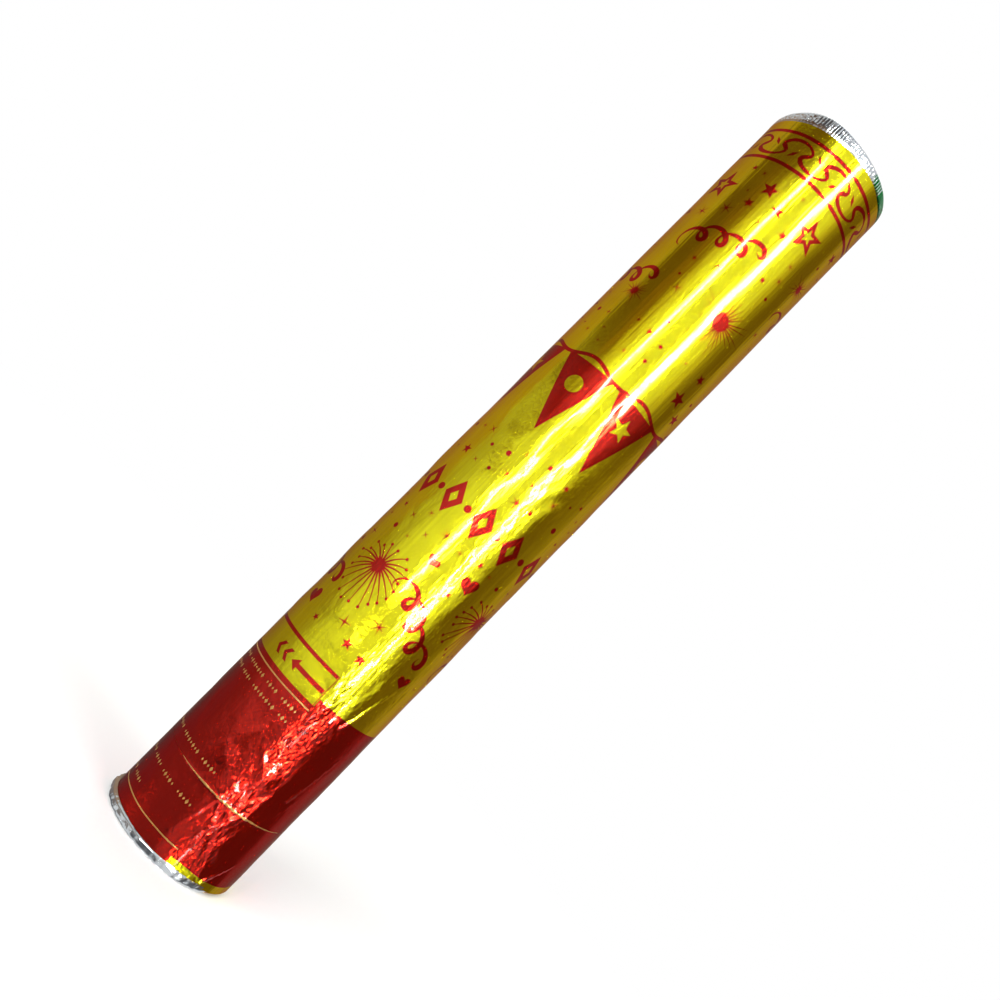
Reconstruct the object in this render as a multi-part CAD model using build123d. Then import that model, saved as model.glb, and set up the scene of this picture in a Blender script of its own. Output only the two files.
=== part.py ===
from build123d import *
import math
import os

os.makedirs("parts", exist_ok=True)

# A twist-grip confetti popper of the compressed-air kind, in millimetres. It stands on its grip end:
# the origin is the middle of the base, and +Z runs up the tube to the muzzle.
# Turning the grip a quarter turn turns the air bottle with it. The cam grooves of its neck draw the
# piercing cap down, the pin opens the sealed mouth, and the air drives wad, confetti and cover out.

# Tube, film and end foils
total_length = 300.0
tube_outer_diameter = 46.8
tube_wall = 2.0
rim_round = 0.8
film_thickness = 0.2
foil_thickness = 0.15
glue_gap = 0.05
edge_gap = 0.6
base_skirt = 1.1
cover_skirt = 2.0
cover_crown = 0.4

# Twist grip
grip_length = 25.5
joint_gap = 0.6
base_disc_thickness = 1.5
core_wall = 2.0
core_floor = 3.0
spigot_length = 24.0
spigot_chamfer = 0.6
running_clearance = 0.08
fill_access_radius = 5.0
twist_degrees = 90.0

# Tacks through the barrel wall
tack_count = 4
tack_radius = 0.6
tack_head_radius = 1.6
tack_head_thickness = 0.4
tack_head_sink = 0.1
tack_bite = 1.0
tack_groove_width = 2.0
tack_groove_depth = 1.2
tack_groove_clearance = 0.2

# Air bottle and its fill valve
bottle_body_length = 105.0
bottle_shoulder = 12.0
bottle_clearance = 0.12
bottle_wall = 2.0
bottle_floor = 3.0
bottle_base_round = 3.0
neck_radius = 8.5
mouth_radius = 5.0
dog_count = 4
dog_width = 4.0
dog_depth = 1.8
dog_reach = 7.0
dog_inner_radius = 7.5
dog_clearance = 0.15
fill_hole_radius = 3.0
valve_clearance = 0.03
valve_flange_radius = 4.2
valve_flange_thickness = 1.2
valve_head_radius = 4.0
valve_head_height = 1.5
valve_lip_radius = 1.5
valve_lip_height = 3.0

# Piercing cap, pin and sealed mouth
feed = 3.0
lug_count = 2
lug_radius = 1.1
lug_clearance = 0.2
lug_tip_gap = 0.25
lug_height = 2.2
lug_below_mouth = 2.6
lug_start_degrees = 90.0
groove_depth = 1.2
seal_foil_thickness = 0.15
seal_foil_lap = 2.2
cap_wall = 2.2
cap_plate = 2.2
cap_plate_clearance = 0.8
feed_clearance = 0.5
wing_count = 2
wing_width = 4.0
wing_reach = 3.0
wing_height = 7.0
wing_clearance = 0.25
wing_start_degrees = 0.0
vent_count = 6
vent_radius = 1.6
vent_circle_radius = 5.4
pin_radius = 1.2
pin_tip_length = 2.4
pin_standoff = 1.0
pin_head_radius = 2.4
pin_head_thickness = 0.9

# Guide cage and neck seal
shoulder_clearance = 0.8
cage_web = 5.0
cage_wall = 2.0
guide_wall = 2.2
guide_clearance = 0.4
rib_count = 6
rib_thickness = 1.6
plenum = 0.6
seal_section = 2.0
seal_side_clearance = 0.1
seal_fit = 0.05

# Wad, confetti and muzzle disc
wad_clearance = 0.2
wad_disc_thickness = 1.5
wad_foam_thickness = 8.0
slip_length = 47.0
slip_width = 20.0
side_stack_depth = 14.0
stack_gap = 0.3
stack_count = 5
confetti_clearance = 0.5
confetti_colours = ("gold", "red", "green", "silver", "blue")
layer_colour_step = 2
side_colour_step = 3
muzzle_disc_thickness = 1.2
muzzle_disc_clearance = 0.3
muzzle_disc_inset = 0.4

# One overrun lets every cut pass clean through
overrun = 0.5

# Radii worked out from the sizes above
tube_radius = tube_outer_diameter / 2
bore_radius = tube_radius - tube_wall
film_inner = tube_radius + glue_gap
film_outer = film_inner + film_thickness
foil_outer = film_inner + foil_thickness
foil_bend = rim_round + glue_gap + foil_thickness
core_radius = bore_radius - running_clearance
core_inner = core_radius - core_wall
tack_groove_radius = core_radius - tack_groove_depth
bottle_radius = core_inner - bottle_clearance
groove_floor = neck_radius - groove_depth
lug_slot_radius = lug_radius + lug_clearance
cap_bore = neck_radius + running_clearance
cap_outer = cap_bore + cap_wall
wing_outer = cap_outer + wing_reach
guide_inner = cap_outer + guide_clearance
guide_outer = guide_inner + guide_wall
cage_outer = bore_radius - glue_gap
cage_inner = cage_outer - cage_wall
seal_ring_radius = neck_radius + seal_fit + seal_section / 2
wad_radius = bore_radius - wad_clearance
pack_radius = bore_radius - confetti_clearance

# Heights worked out upwards from the base
grip_tube_low = foil_thickness + glue_gap
base_film_low = foil_bend + base_skirt + edge_gap
grip_high = grip_length - joint_gap / 2
barrel_low = grip_length + joint_gap / 2
core_low = grip_tube_low + base_disc_thickness
bottle_low = core_low + core_floor
spigot_high = barrel_low + spigot_length
spigot_tack_height = barrel_low + spigot_length / 2
shoulder_low = bottle_low + bottle_body_length
neck_low = shoulder_low + bottle_shoulder
web_low = neck_low + shoulder_clearance
web_high = web_low + cage_web
cap_low = web_high + feed_clearance + feed
lug_rest_height = cap_low + lug_height
mouth_height = lug_rest_height + lug_below_mouth
seal_high = mouth_height + seal_foil_thickness
plate_low = seal_high + feed + cap_plate_clearance
cap_high = plate_low + cap_plate
pin_tip_height = seal_high + pin_standoff
cage_high = cap_high + pin_head_thickness + plenum
cage_tack_height = (web_low + cage_high) / 2
wad_high = cage_high + wad_disc_thickness + wad_foam_thickness

# Heights worked out downwards from the muzzle
rim_high = total_length - cover_crown
barrel_high = rim_high - foil_thickness - glue_gap
cover_low = rim_high - foil_bend - cover_skirt
muzzle_film_high = cover_low - edge_gap
muzzle_disc_high = barrel_high - muzzle_disc_inset
muzzle_disc_low = muzzle_disc_high - muzzle_disc_thickness

UPRIGHT = (Align.CENTER, Align.CENTER, Align.MIN)
FROM_AXIS_UP = (Align.MIN, Align.CENTER, Align.MIN)


def disc(radius, low, high):
    return Pos(0, 0, low) * Cylinder(radius, high - low, align=UPRIGHT)


def ring(outer, inner, low, high):
    return disc(outer, low, high) - disc(inner, low, high)


def turned(edges):
    return revolve(Plane.XZ * make_face(edges), Axis.Z)


def radial_rod(radius, inner, outer, height):
    rod = Cylinder(radius, outer - inner, rotation=(0, 90, 0), align=UPRIGHT)
    return Pos(inner, 0, height) * rod


def radial_block(width, inner, outer, low, high):
    block = Box(outer - inner, width, high - low, align=FROM_AXIS_UP)
    return Pos(inner, 0, low) * block


def around(shape, count, start=0):
    return [Rot(0, 0, start + 360 * step / count) * shape for step in range(count)]


def tack(tip_radius, height):
    head_outer = tube_radius - tack_head_sink
    head_inner = head_outer - tack_head_thickness
    shank = radial_rod(tack_radius, tip_radius, head_inner, height)
    return shank + radial_rod(tack_head_radius, head_inner, head_outer, height)


def tack_hole(tip_radius, height):
    head_inner = tube_radius - tack_head_sink - tack_head_thickness
    shank = radial_rod(tack_radius, tip_radius, head_inner, height)
    return shank + radial_rod(tack_head_radius, head_inner, tube_radius + overrun, height)


# The tacks at the spigot end in its groove, and those at the cage end inside its wall
spigot_tack_tip = tack_groove_radius + tack_groove_clearance
cage_tack_tip = cage_outer - tack_bite


def retaining_tacks():
    return Compound(children=around(tack(spigot_tack_tip, spigot_tack_height), tack_count))


def cage_tacks():
    return Compound(children=around(tack(cage_tack_tip, cage_tack_height), tack_count))


def barrel_tube():
    body = ring(tube_radius, bore_radius, barrel_low, barrel_high)
    mouth_edge = body.edges().group_by(Axis.Z)[-1].sort_by(SortBy.RADIUS)[-1]
    body = fillet(mouth_edge, rim_round)
    body -= around(tack_hole(spigot_tack_tip, spigot_tack_height), tack_count)
    return body - around(tack_hole(cage_tack_tip, cage_tack_height), tack_count)


def grip_tube():
    body = ring(tube_radius, bore_radius, grip_tube_low, grip_high)
    base_edge = body.edges().group_by(Axis.Z)[0].sort_by(SortBy.RADIUS)[-1]
    return fillet(base_edge, rim_round)


def barrel_wrap():
    return ring(film_outer, film_inner, barrel_low, muzzle_film_high)


def grip_wrap():
    return ring(film_outer, film_inner, base_film_low, grip_high)


def base_disc():
    return disc(bore_radius - glue_gap, grip_tube_low, core_low)


def base_foil():
    flat_radius = foil_outer - foil_bend
    skirt_high = foil_bend + base_skirt
    edges = [
        Line((0, 0), (flat_radius, 0)),
        TangentArc((flat_radius, 0), (foil_outer, foil_bend), tangent=(1, 0)),
        Line((foil_outer, foil_bend), (foil_outer, skirt_high)),
        Line((foil_outer, skirt_high), (film_inner, skirt_high)),
        Line((film_inner, skirt_high), (film_inner, foil_bend)),
        TangentArc((film_inner, foil_bend), (flat_radius, foil_thickness), tangent=(0, -1)),
        Line((flat_radius, foil_thickness), (0, foil_thickness)),
        Line((0, foil_thickness), (0, 0)),
    ]
    return turned(edges)


def muzzle_cover():
    crown_radius = foil_outer - foil_bend
    bend_low = rim_high - foil_bend
    crown_inner = total_length - foil_thickness
    rim_inner = rim_high - foil_thickness
    edges = [
        Line((film_inner, cover_low), (foil_outer, cover_low)),
        Line((foil_outer, cover_low), (foil_outer, bend_low)),
        TangentArc((foil_outer, bend_low), (crown_radius, rim_high), tangent=(0, 1)),
        TangentArc((0, total_length), (crown_radius, rim_high), tangent=(1, 0)),
        Line((0, total_length), (0, crown_inner)),
        TangentArc((0, crown_inner), (crown_radius, rim_inner), tangent=(1, 0)),
        TangentArc((film_inner, bend_low), (crown_radius, rim_inner), tangent=(0, 1)),
        Line((film_inner, bend_low), (film_inner, cover_low)),
    ]
    return turned(edges)


def drive_dog(clearance):
    outer = dog_inner_radius + dog_reach + clearance
    low = bottle_low - dog_depth - clearance
    return radial_block(dog_width + 2 * clearance, dog_inner_radius - clearance, outer, low, bottle_low)


def grip_core():
    body = disc(core_radius, core_low, spigot_high) - disc(core_inner, bottle_low, spigot_high)
    lead_in = body.edges().group_by(Axis.Z)[-1].sort_by(SortBy.RADIUS)[-1]
    body = chamfer(lead_in, spigot_chamfer)
    body -= disc(fill_access_radius, core_low, bottle_low)
    body -= around(drive_dog(dog_clearance), dog_count)
    groove_low = spigot_tack_height - tack_groove_width / 2
    groove_high = spigot_tack_height + tack_groove_width / 2
    return body - ring(core_radius + overrun, tack_groove_radius, groove_low, groove_high)


# Each cam groove falls as it goes round, so that the turning neck draws the lug down by the feed
cam_lead = feed * 360 / twist_degrees


def cam_groove():
    outer = neck_radius + overrun
    middle = (groove_floor + outer) / 2
    path = Helix(cam_lead, feed, middle, lefthand=True)
    start = Plane(origin=path @ 0, x_dir=(1, 0, 0), z_dir=path % 0)
    channel = sweep(start * Rectangle(outer - groove_floor, 2 * lug_slot_radius), path, is_frenet=True)
    channel = Pos(0, 0, lug_rest_height - feed) * Rot(0, 0, twist_degrees) * channel
    rest_end = radial_rod(lug_slot_radius, groove_floor, outer, lug_rest_height)
    full_end = radial_rod(lug_slot_radius, groove_floor, outer, lug_rest_height - feed)
    entry_high = mouth_height + overrun
    entry = radial_block(2 * lug_slot_radius, groove_floor, outer, lug_rest_height, entry_high)
    return channel + rest_end + Rot(0, 0, twist_degrees) * full_end + entry


def air_bottle():
    round_centre = bottle_radius - bottle_base_round
    wall_radius = bottle_radius - bottle_wall
    floor_high = bottle_low + bottle_floor
    base_high = bottle_low + bottle_base_round
    edges = [
        Line((fill_hole_radius, bottle_low), (round_centre, bottle_low)),
        TangentArc((round_centre, bottle_low), (bottle_radius, base_high), tangent=(1, 0)),
        Line((bottle_radius, base_high), (bottle_radius, shoulder_low)),
        TangentArc((bottle_radius, shoulder_low), (neck_radius, neck_low), tangent=(0, 1)),
        Line((neck_radius, neck_low), (neck_radius, mouth_height)),
        Line((neck_radius, mouth_height), (mouth_radius, mouth_height)),
        Line((mouth_radius, mouth_height), (mouth_radius, neck_low - bottle_wall)),
        Line((mouth_radius, neck_low - bottle_wall), (wall_radius, shoulder_low - bottle_wall)),
        Line((wall_radius, shoulder_low - bottle_wall), (wall_radius, floor_high)),
        Line((wall_radius, floor_high), (fill_hole_radius, floor_high)),
        Line((fill_hole_radius, floor_high), (fill_hole_radius, bottle_low)),
    ]
    body = turned(edges) + around(drive_dog(0), dog_count)
    return body - around(cam_groove(), lug_count, lug_start_degrees)


def fill_valve():
    floor_high = bottle_low + bottle_floor
    stem = disc(fill_hole_radius - valve_clearance, bottle_low, floor_high)
    flange = disc(valve_flange_radius, bottle_low - valve_flange_thickness, bottle_low)
    head = disc(valve_head_radius, floor_high, floor_high + valve_head_height)
    lip = Cone(valve_head_radius, valve_lip_radius, valve_lip_height, align=UPRIGHT)
    return stem + flange + head + Pos(0, 0, floor_high + valve_head_height) * lip


def seal_foil():
    return disc(mouth_radius + seal_foil_lap, mouth_height, seal_high)


def piercing_cap():
    body = disc(cap_outer, cap_low, cap_high) - disc(cap_bore, cap_low, plate_low)
    lug = radial_rod(lug_radius, groove_floor + lug_tip_gap, cap_bore + cap_wall / 2, lug_rest_height)
    body += around(lug, lug_count, lug_start_degrees)
    wing = radial_block(wing_width, cap_bore + cap_wall / 2, wing_outer, cap_high - wing_height, cap_high)
    body += around(wing, wing_count, wing_start_degrees)
    body -= around(Pos(vent_circle_radius, 0, 0) * disc(vent_radius, plate_low, cap_high), vent_count)
    return body - disc(pin_radius, plate_low, cap_high)


def piercing_pin():
    shank = disc(pin_radius, pin_tip_height + pin_tip_length, cap_high)
    tip = Cone(0, pin_radius, pin_tip_length, align=UPRIGHT)
    head = disc(pin_head_radius, cap_high, cap_high + pin_head_thickness)
    return shank + Pos(0, 0, pin_tip_height) * tip + head


def guide_cage():
    body = disc(cage_outer, web_low, web_high) - disc(cap_bore, web_low, web_high)
    body += ring(cage_outer, cage_inner, web_high, cage_high)
    body += ring(guide_outer, guide_inner, web_high, cage_high)
    rib_inner = (guide_inner + guide_outer) / 2
    rib_outer = (cage_inner + cage_outer) / 2
    rib = radial_block(rib_thickness, rib_inner, rib_outer, web_high, cage_high)
    body += around(rib, rib_count, 180 / rib_count)
    slot_low = cap_high - wing_height - feed - wing_clearance
    slot_width = wing_width + 2 * wing_clearance
    slot_outer = max(wing_outer + wing_clearance, guide_outer + overrun)
    slot = radial_block(slot_width, cap_outer, slot_outer, slot_low, cage_high)
    body -= around(slot, wing_count, wing_start_degrees)
    web_middle = (web_low + web_high) / 2
    seal_reach = seal_section / 2 + seal_side_clearance
    body -= ring(seal_ring_radius + seal_reach, cap_bore - overrun, web_middle - seal_reach,
                 web_middle + seal_reach)
    return body - around(tack_hole(cage_tack_tip, cage_tack_height), tack_count)


def neck_seal():
    return Pos(0, 0, (web_low + web_high) / 2) * Torus(seal_ring_radius, seal_section / 2)


def wad_disc():
    return disc(wad_radius, cage_high, cage_high + wad_disc_thickness)


def wad_foam():
    return disc(wad_radius, cage_high + wad_disc_thickness, wad_high)


def stack(width, depth, x, y, low):
    return Pos(x, y, low) * Box(width, depth, slip_length, align=UPRIGHT)


def confetti():
    """Stacks of slips by colour: a row across the middle and one stack at each side, in layers."""
    stacks = {colour: [] for colour in confetti_colours}
    half_depth = math.sqrt(pack_radius**2 - (slip_width / 2) ** 2)
    depth = (2 * half_depth - stack_gap * (stack_count - 1)) / stack_count
    side_inner = slip_width / 2 + stack_gap
    side_width = math.sqrt(pack_radius**2 - (side_stack_depth / 2) ** 2) - side_inner
    side_x = side_inner + side_width / 2
    pitch = slip_length + stack_gap
    for layer in range(int((muzzle_disc_low - wad_high) // pitch)):
        low = wad_high + stack_gap + layer * pitch
        for place in range(stack_count):
            y = (depth + stack_gap) * (place - (stack_count - 1) / 2)
            colour = confetti_colours[(place + layer_colour_step * layer) % len(confetti_colours)]
            stacks[colour].append(stack(slip_width, depth, 0, y, low))
        for number, side in enumerate((-1, 1)):
            colour = confetti_colours[(layer + side_colour_step * number) % len(confetti_colours)]
            stacks[colour].append(stack(side_width, side_stack_depth, side * side_x, 0, low))
    return {f"confetti_{colour}": Compound(children=group) for colour, group in stacks.items()}


def muzzle_disc():
    return disc(bore_radius - muzzle_disc_clearance, muzzle_disc_low, muzzle_disc_high)


nodes = {
    "barrel_tube": barrel_tube(),
    "barrel_wrap": barrel_wrap(),
    "guide_cage": guide_cage(),
    "cage_tacks": cage_tacks(),
    "neck_seal": neck_seal(),
    "retaining_tacks": retaining_tacks(),
    "grip_tube": grip_tube(),
    "grip_wrap": grip_wrap(),
    "grip_core": grip_core(),
    "base_disc": base_disc(),
    "base_foil": base_foil(),
    "air_bottle": air_bottle(),
    "fill_valve": fill_valve(),
    "seal_foil": seal_foil(),
    "piercing_cap": piercing_cap(),
    "piercing_pin": piercing_pin(),
    "wad_disc": wad_disc(),
    "wad_foam": wad_foam(),
    "muzzle_disc": muzzle_disc(),
    "muzzle_cover": muzzle_cover(),
    **confetti(),
}
for name, shape in nodes.items():
    export_step(shape, f"parts/{name}.step")
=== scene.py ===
import math

import bmesh
import bpy
import numpy as np
from mathutils import Matrix, Vector
from mathutils.geometry import delaunay_2d_cdt


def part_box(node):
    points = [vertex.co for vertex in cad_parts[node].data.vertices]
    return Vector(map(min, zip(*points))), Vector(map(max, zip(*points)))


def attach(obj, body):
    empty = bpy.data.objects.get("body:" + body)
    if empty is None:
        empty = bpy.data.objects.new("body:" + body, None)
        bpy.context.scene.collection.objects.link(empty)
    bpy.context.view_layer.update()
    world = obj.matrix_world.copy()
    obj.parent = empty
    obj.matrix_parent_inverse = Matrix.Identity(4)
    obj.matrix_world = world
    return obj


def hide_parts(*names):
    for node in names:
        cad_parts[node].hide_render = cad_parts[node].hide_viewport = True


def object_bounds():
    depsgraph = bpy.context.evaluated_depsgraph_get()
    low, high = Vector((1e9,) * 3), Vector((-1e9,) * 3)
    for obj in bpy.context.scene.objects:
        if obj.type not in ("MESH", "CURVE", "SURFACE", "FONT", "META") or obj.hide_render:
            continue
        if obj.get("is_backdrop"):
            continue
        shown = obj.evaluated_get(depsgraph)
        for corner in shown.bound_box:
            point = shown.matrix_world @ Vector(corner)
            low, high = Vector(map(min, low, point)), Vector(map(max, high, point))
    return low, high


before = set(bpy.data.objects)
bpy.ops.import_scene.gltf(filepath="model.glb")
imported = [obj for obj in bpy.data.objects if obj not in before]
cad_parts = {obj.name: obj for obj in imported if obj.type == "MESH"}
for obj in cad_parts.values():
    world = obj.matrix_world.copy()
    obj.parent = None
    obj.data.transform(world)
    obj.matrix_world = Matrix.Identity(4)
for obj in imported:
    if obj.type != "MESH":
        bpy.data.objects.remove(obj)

cad_low, cad_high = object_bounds()


# Air bottle: a blown polyethylene pressure bottle with a turned-out neck that carries the cam grooves.
# It stands in the grip's cup on four dogs and turns with the grip.
def linear(hex_colour):
    """An sRGB hex colour as linear red, green, blue and alpha."""
    channels = [int(hex_colour[place:place + 2], 16) / 255 for place in (1, 3, 5)]
    return [c / 12.92 if c <= 0.04045 else ((c + 0.055) / 1.055) ** 2.4 for c in channels] + [1.0]


def add(tree, kind, inputs=None, **settings):
    """Adds a node to a tree, with its inputs set to values or linked to sockets, and with its settings."""
    node = tree.nodes.new(kind)
    for name, value in settings.items():
        setattr(node, name, value)
    for name, value in (inputs or {}).items():
        if isinstance(value, bpy.types.NodeSocket):
            tree.links.new(value, node.inputs[name])
        else:
            node.inputs[name].default_value = value
    return node


def new_material(name):
    """An empty node material, its tree and its Object coordinates."""
    made = bpy.data.materials.new(name)
    made.use_nodes = True
    made.node_tree.nodes.clear()
    place = add(made.node_tree, "ShaderNodeTexCoord").outputs["Object"]
    return made, made.node_tree, place


def per_metre(size_mm):
    """The texture scale at which one feature of a pattern is that many millimetres wide."""
    return 1000 / size_mm


def dress(material, *nodes):
    """Gives a material to CAD nodes that keep their own shape."""
    for node in nodes:
        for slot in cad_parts[node].material_slots:
            slot.material = material


def moulded_plastic(name, pale, deep, roughness, mottle_mm, grain_mm):
    """Moulded or blown polyolefin: waxy, a little uneven in colour, with the fine grain of its mould.
    The grain is drawn coarser than it is, so that it shows."""
    made, tree, place = new_material(name)
    mottle = add(tree, "ShaderNodeTexNoise", {
        "Vector": place, "Scale": per_metre(mottle_mm), "Detail": 3.0})
    tone = add(tree, "ShaderNodeMix", {
        0: mottle.outputs[0], 6: linear(pale), 7: linear(deep)}, data_type="RGBA")
    grain = add(tree, "ShaderNodeTexNoise", {"Vector": place, "Scale": per_metre(grain_mm), "Detail": 2.0})
    sheen = add(tree, "ShaderNodeMapRange", {
        "Value": grain.outputs[0], "To Min": roughness - 0.06, "To Max": roughness + 0.08})
    bump = add(tree, "ShaderNodeBump", {"Strength": 0.25, "Distance": 0.00003, "Height": grain.outputs[0]})
    shader = add(tree, "ShaderNodeBsdfPrincipled", {
        "Base Color": tone.outputs[2], "Roughness": sheen.outputs[0], "IOR": 1.5,
        "Normal": bump.outputs[0]})
    add(tree, "ShaderNodeOutputMaterial", {"Surface": shader.outputs[0]})
    return made


dress(moulded_plastic("blown_polyethylene", "#E4EAEA", "#CBD6D8", roughness=0.34, mottle_mm=14.0,
                      grain_mm=0.5), "air_bottle")


# Fill valve: a moulded rubber plug in the hole of the bottle's base, through which it was charged.
# Neck seal: a rubber ring in the cage, on which the neck turns. Both are black nitrile with a dull bloom.
def nitrile_rubber(bloom_mm=1.8):
    """Nearly black and dull, with a greyer bloom in patches."""
    made, tree, place = new_material("moulded_nitrile_rubber")
    bloom = add(tree, "ShaderNodeTexNoise", {"Vector": place, "Scale": per_metre(bloom_mm), "Detail": 5.0})
    tone = add(tree, "ShaderNodeMix", {
        0: bloom.outputs[0], 6: linear("#18181A"), 7: linear("#303033")}, data_type="RGBA")
    bump = add(tree, "ShaderNodeBump", {"Strength": 0.3, "Distance": 0.00004, "Height": bloom.outputs[0]})
    shader = add(tree, "ShaderNodeBsdfPrincipled", {
        "Base Color": tone.outputs[2], "Roughness": 0.62, "IOR": 1.52, "Normal": bump.outputs[0]})
    add(tree, "ShaderNodeOutputMaterial", {"Surface": shader.outputs[0]})
    return made


dress(nitrile_rubber(), "fill_valve", "neck_seal")


# Seal foil: aluminium lidding foil, heat-sealed on the bottle's mouth with a knurled tool.
# The tool leaves a fine waffle of dimples, which breaks up its shine.
def lidding_foil(dimple_mm=0.8, haze_mm=2.5):
    """Soft aluminium with a grid of small dimples, so that it glints in points instead of mirroring."""
    made, tree, place = new_material("heat_sealed_lidding_foil")
    waffle = add(tree, "ShaderNodeTexVoronoi", {
        "Vector": place, "Scale": per_metre(dimple_mm), "Randomness": 0.0},
        feature="F1", distance="CHEBYCHEV")
    haze = add(tree, "ShaderNodeTexNoise", {"Vector": place, "Scale": per_metre(haze_mm), "Detail": 4.0})
    sheen = add(tree, "ShaderNodeMapRange", {"Value": haze.outputs[0], "To Min": 0.18, "To Max": 0.36})
    bump = add(tree, "ShaderNodeBump", {"Strength": 0.5, "Distance": 0.0001, "Height": waffle.outputs[0]})
    shader = add(tree, "ShaderNodeBsdfPrincipled", {
        "Base Color": linear("#D8D9DB"), "Metallic": 1.0, "Roughness": sheen.outputs[0],
        "Normal": bump.outputs[0]})
    add(tree, "ShaderNodeOutputMaterial", {"Surface": shader.outputs[0]})
    return made


dress(lidding_foil(), "seal_foil")


# Grip core and guide cage: injection-moulded polypropylene, natural white. The core is glued in the grip
# and its spigot turns in the barrel; the cage is tacked in the barrel and guides the cap.
dress(moulded_plastic("moulded_white_polypropylene", "#EFEEE8", "#DEDCD2", roughness=0.42, mottle_mm=9.0,
                      grain_mm=0.35), "grip_core", "guide_cage")


# Piercing cap: injection-moulded polypropylene in red, with the steel pin pressed through its top.
# Two lugs in the grooves of the neck draw it down as the bottle turns.
dress(moulded_plastic("moulded_red_polypropylene", "#C0281E", "#A51E17", roughness=0.38, mottle_mm=7.0,
                      grain_mm=0.3), "piercing_cap")


# Piercing pin and tacks: bright steel wire, headed and pointed, with a thin coat of zinc.
# The zinc gives a pale grey metal with faint drawing lines along the shank.
def zinc_plated_steel(line_mm=0.25):
    """Pale grey metal, half bright, in fine lines along the wire."""
    made, tree, place = new_material("zinc_plated_steel_wire")
    lines = add(tree, "ShaderNodeMapping", {"Vector": place, "Scale": (1.0, 1.0, 0.1)})
    drawn = add(tree, "ShaderNodeTexNoise", {"Vector": lines.outputs[0], "Scale": per_metre(line_mm)})
    tone = add(tree, "ShaderNodeMix", {
        0: drawn.outputs[0], 6: linear("#C9CBCD"), 7: linear("#A9ACB0")}, data_type="RGBA")
    sheen = add(tree, "ShaderNodeMapRange", {"Value": drawn.outputs[0], "To Min": 0.2, "To Max": 0.4})
    shader = add(tree, "ShaderNodeBsdfPrincipled", {
        "Base Color": tone.outputs[2], "Metallic": 1.0, "Roughness": sheen.outputs[0]})
    add(tree, "ShaderNodeOutputMaterial", {"Surface": shader.outputs[0]})
    return made


dress(zinc_plated_steel(), "piercing_pin", "retaining_tacks", "cage_tacks")


# Card discs: punched grey chipboard. One closes the grip, one backs the wad and one shuts the mouth.
# The board is recycled pulp, so it is flecked with darker and paler fibres.
def grey_chipboard(pulp_mm=2.2, fleck_mm=0.9):
    """Matt grey-brown board, clouded and flecked."""
    made, tree, place = new_material("punched_grey_chipboard")
    pulp = add(tree, "ShaderNodeTexNoise", {"Vector": place, "Scale": per_metre(pulp_mm), "Detail": 8.0})
    fleck = add(tree, "ShaderNodeTexVoronoi", {"Vector": place, "Scale": per_metre(fleck_mm)})
    spots = add(tree, "ShaderNodeMapRange", {"Value": fleck.outputs["Distance"], "From Max": 0.25})
    tone = add(tree, "ShaderNodeMix", {
        0: pulp.outputs[0], 6: linear("#A59D92"), 7: linear("#857D73")}, data_type="RGBA")
    flecked = add(tree, "ShaderNodeMix", {
        0: spots.outputs[0], 6: linear("#6A635B"), 7: tone.outputs[2]}, data_type="RGBA")
    bump = add(tree, "ShaderNodeBump", {"Strength": 0.4, "Distance": 0.00008, "Height": pulp.outputs[0]})
    shader = add(tree, "ShaderNodeBsdfPrincipled", {
        "Base Color": flecked.outputs[2], "Roughness": 0.9, "IOR": 1.45, "Normal": bump.outputs[0]})
    add(tree, "ShaderNodeOutputMaterial", {"Surface": shader.outputs[0]})
    return made


dress(grey_chipboard(), "base_disc", "wad_disc", "muzzle_disc")


# Barrel and grip tubes: strips of kraft board wound in a spiral on a mandrel, glued and cut to length.
# The edges of the strips show as slanting lines, and the fibres lie along them.
def wound_kraft_board(strip_mm=70.0, seam_mm=0.5, fibre_mm=1.2):
    """Matt brown board, cloudy with fibre, with a dark line where each strip ends."""
    half_strip = strip_mm / 2000
    made, tree, place = new_material("spiral_wound_kraft_board")
    split = add(tree, "ShaderNodeSeparateXYZ", {0: place})
    turn = add(tree, "ShaderNodeMath", {0: split.outputs[1], 1: split.outputs[0]}, operation="ARCTAN2")
    rise = add(tree, "ShaderNodeMath", {0: turn.outputs[0], 1: half_strip / math.pi}, operation="MULTIPLY")
    spiral = add(tree, "ShaderNodeMath", {0: split.outputs[2], 1: rise.outputs[0]}, operation="ADD")
    strips = add(tree, "ShaderNodeMath", {0: spiral.outputs[0], 1: half_strip}, operation="PINGPONG")
    seam = add(tree, "ShaderNodeMapRange", {"Value": strips.outputs[0], "From Max": seam_mm / 1000})
    fibre = add(tree, "ShaderNodeTexNoise", {"Vector": place, "Scale": per_metre(fibre_mm), "Detail": 8.0})
    tone = add(tree, "ShaderNodeMix", {
        0: fibre.outputs[0], 6: linear("#B9966A"), 7: linear("#94714A")}, data_type="RGBA")
    seamed = add(tree, "ShaderNodeMix", {
        0: seam.outputs[0], 6: linear("#6B4F30"), 7: tone.outputs[2]}, data_type="RGBA")
    bump = add(tree, "ShaderNodeBump", {"Strength": 0.4, "Distance": 0.00006, "Height": fibre.outputs[0]})
    shader = add(tree, "ShaderNodeBsdfPrincipled", {
        "Base Color": seamed.outputs[2], "Roughness": 0.85, "IOR": 1.45, "Normal": bump.outputs[0]})
    add(tree, "ShaderNodeOutputMaterial", {"Surface": shader.outputs[0]})
    return made


dress(wound_kraft_board(), "barrel_tube", "grip_tube")


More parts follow.
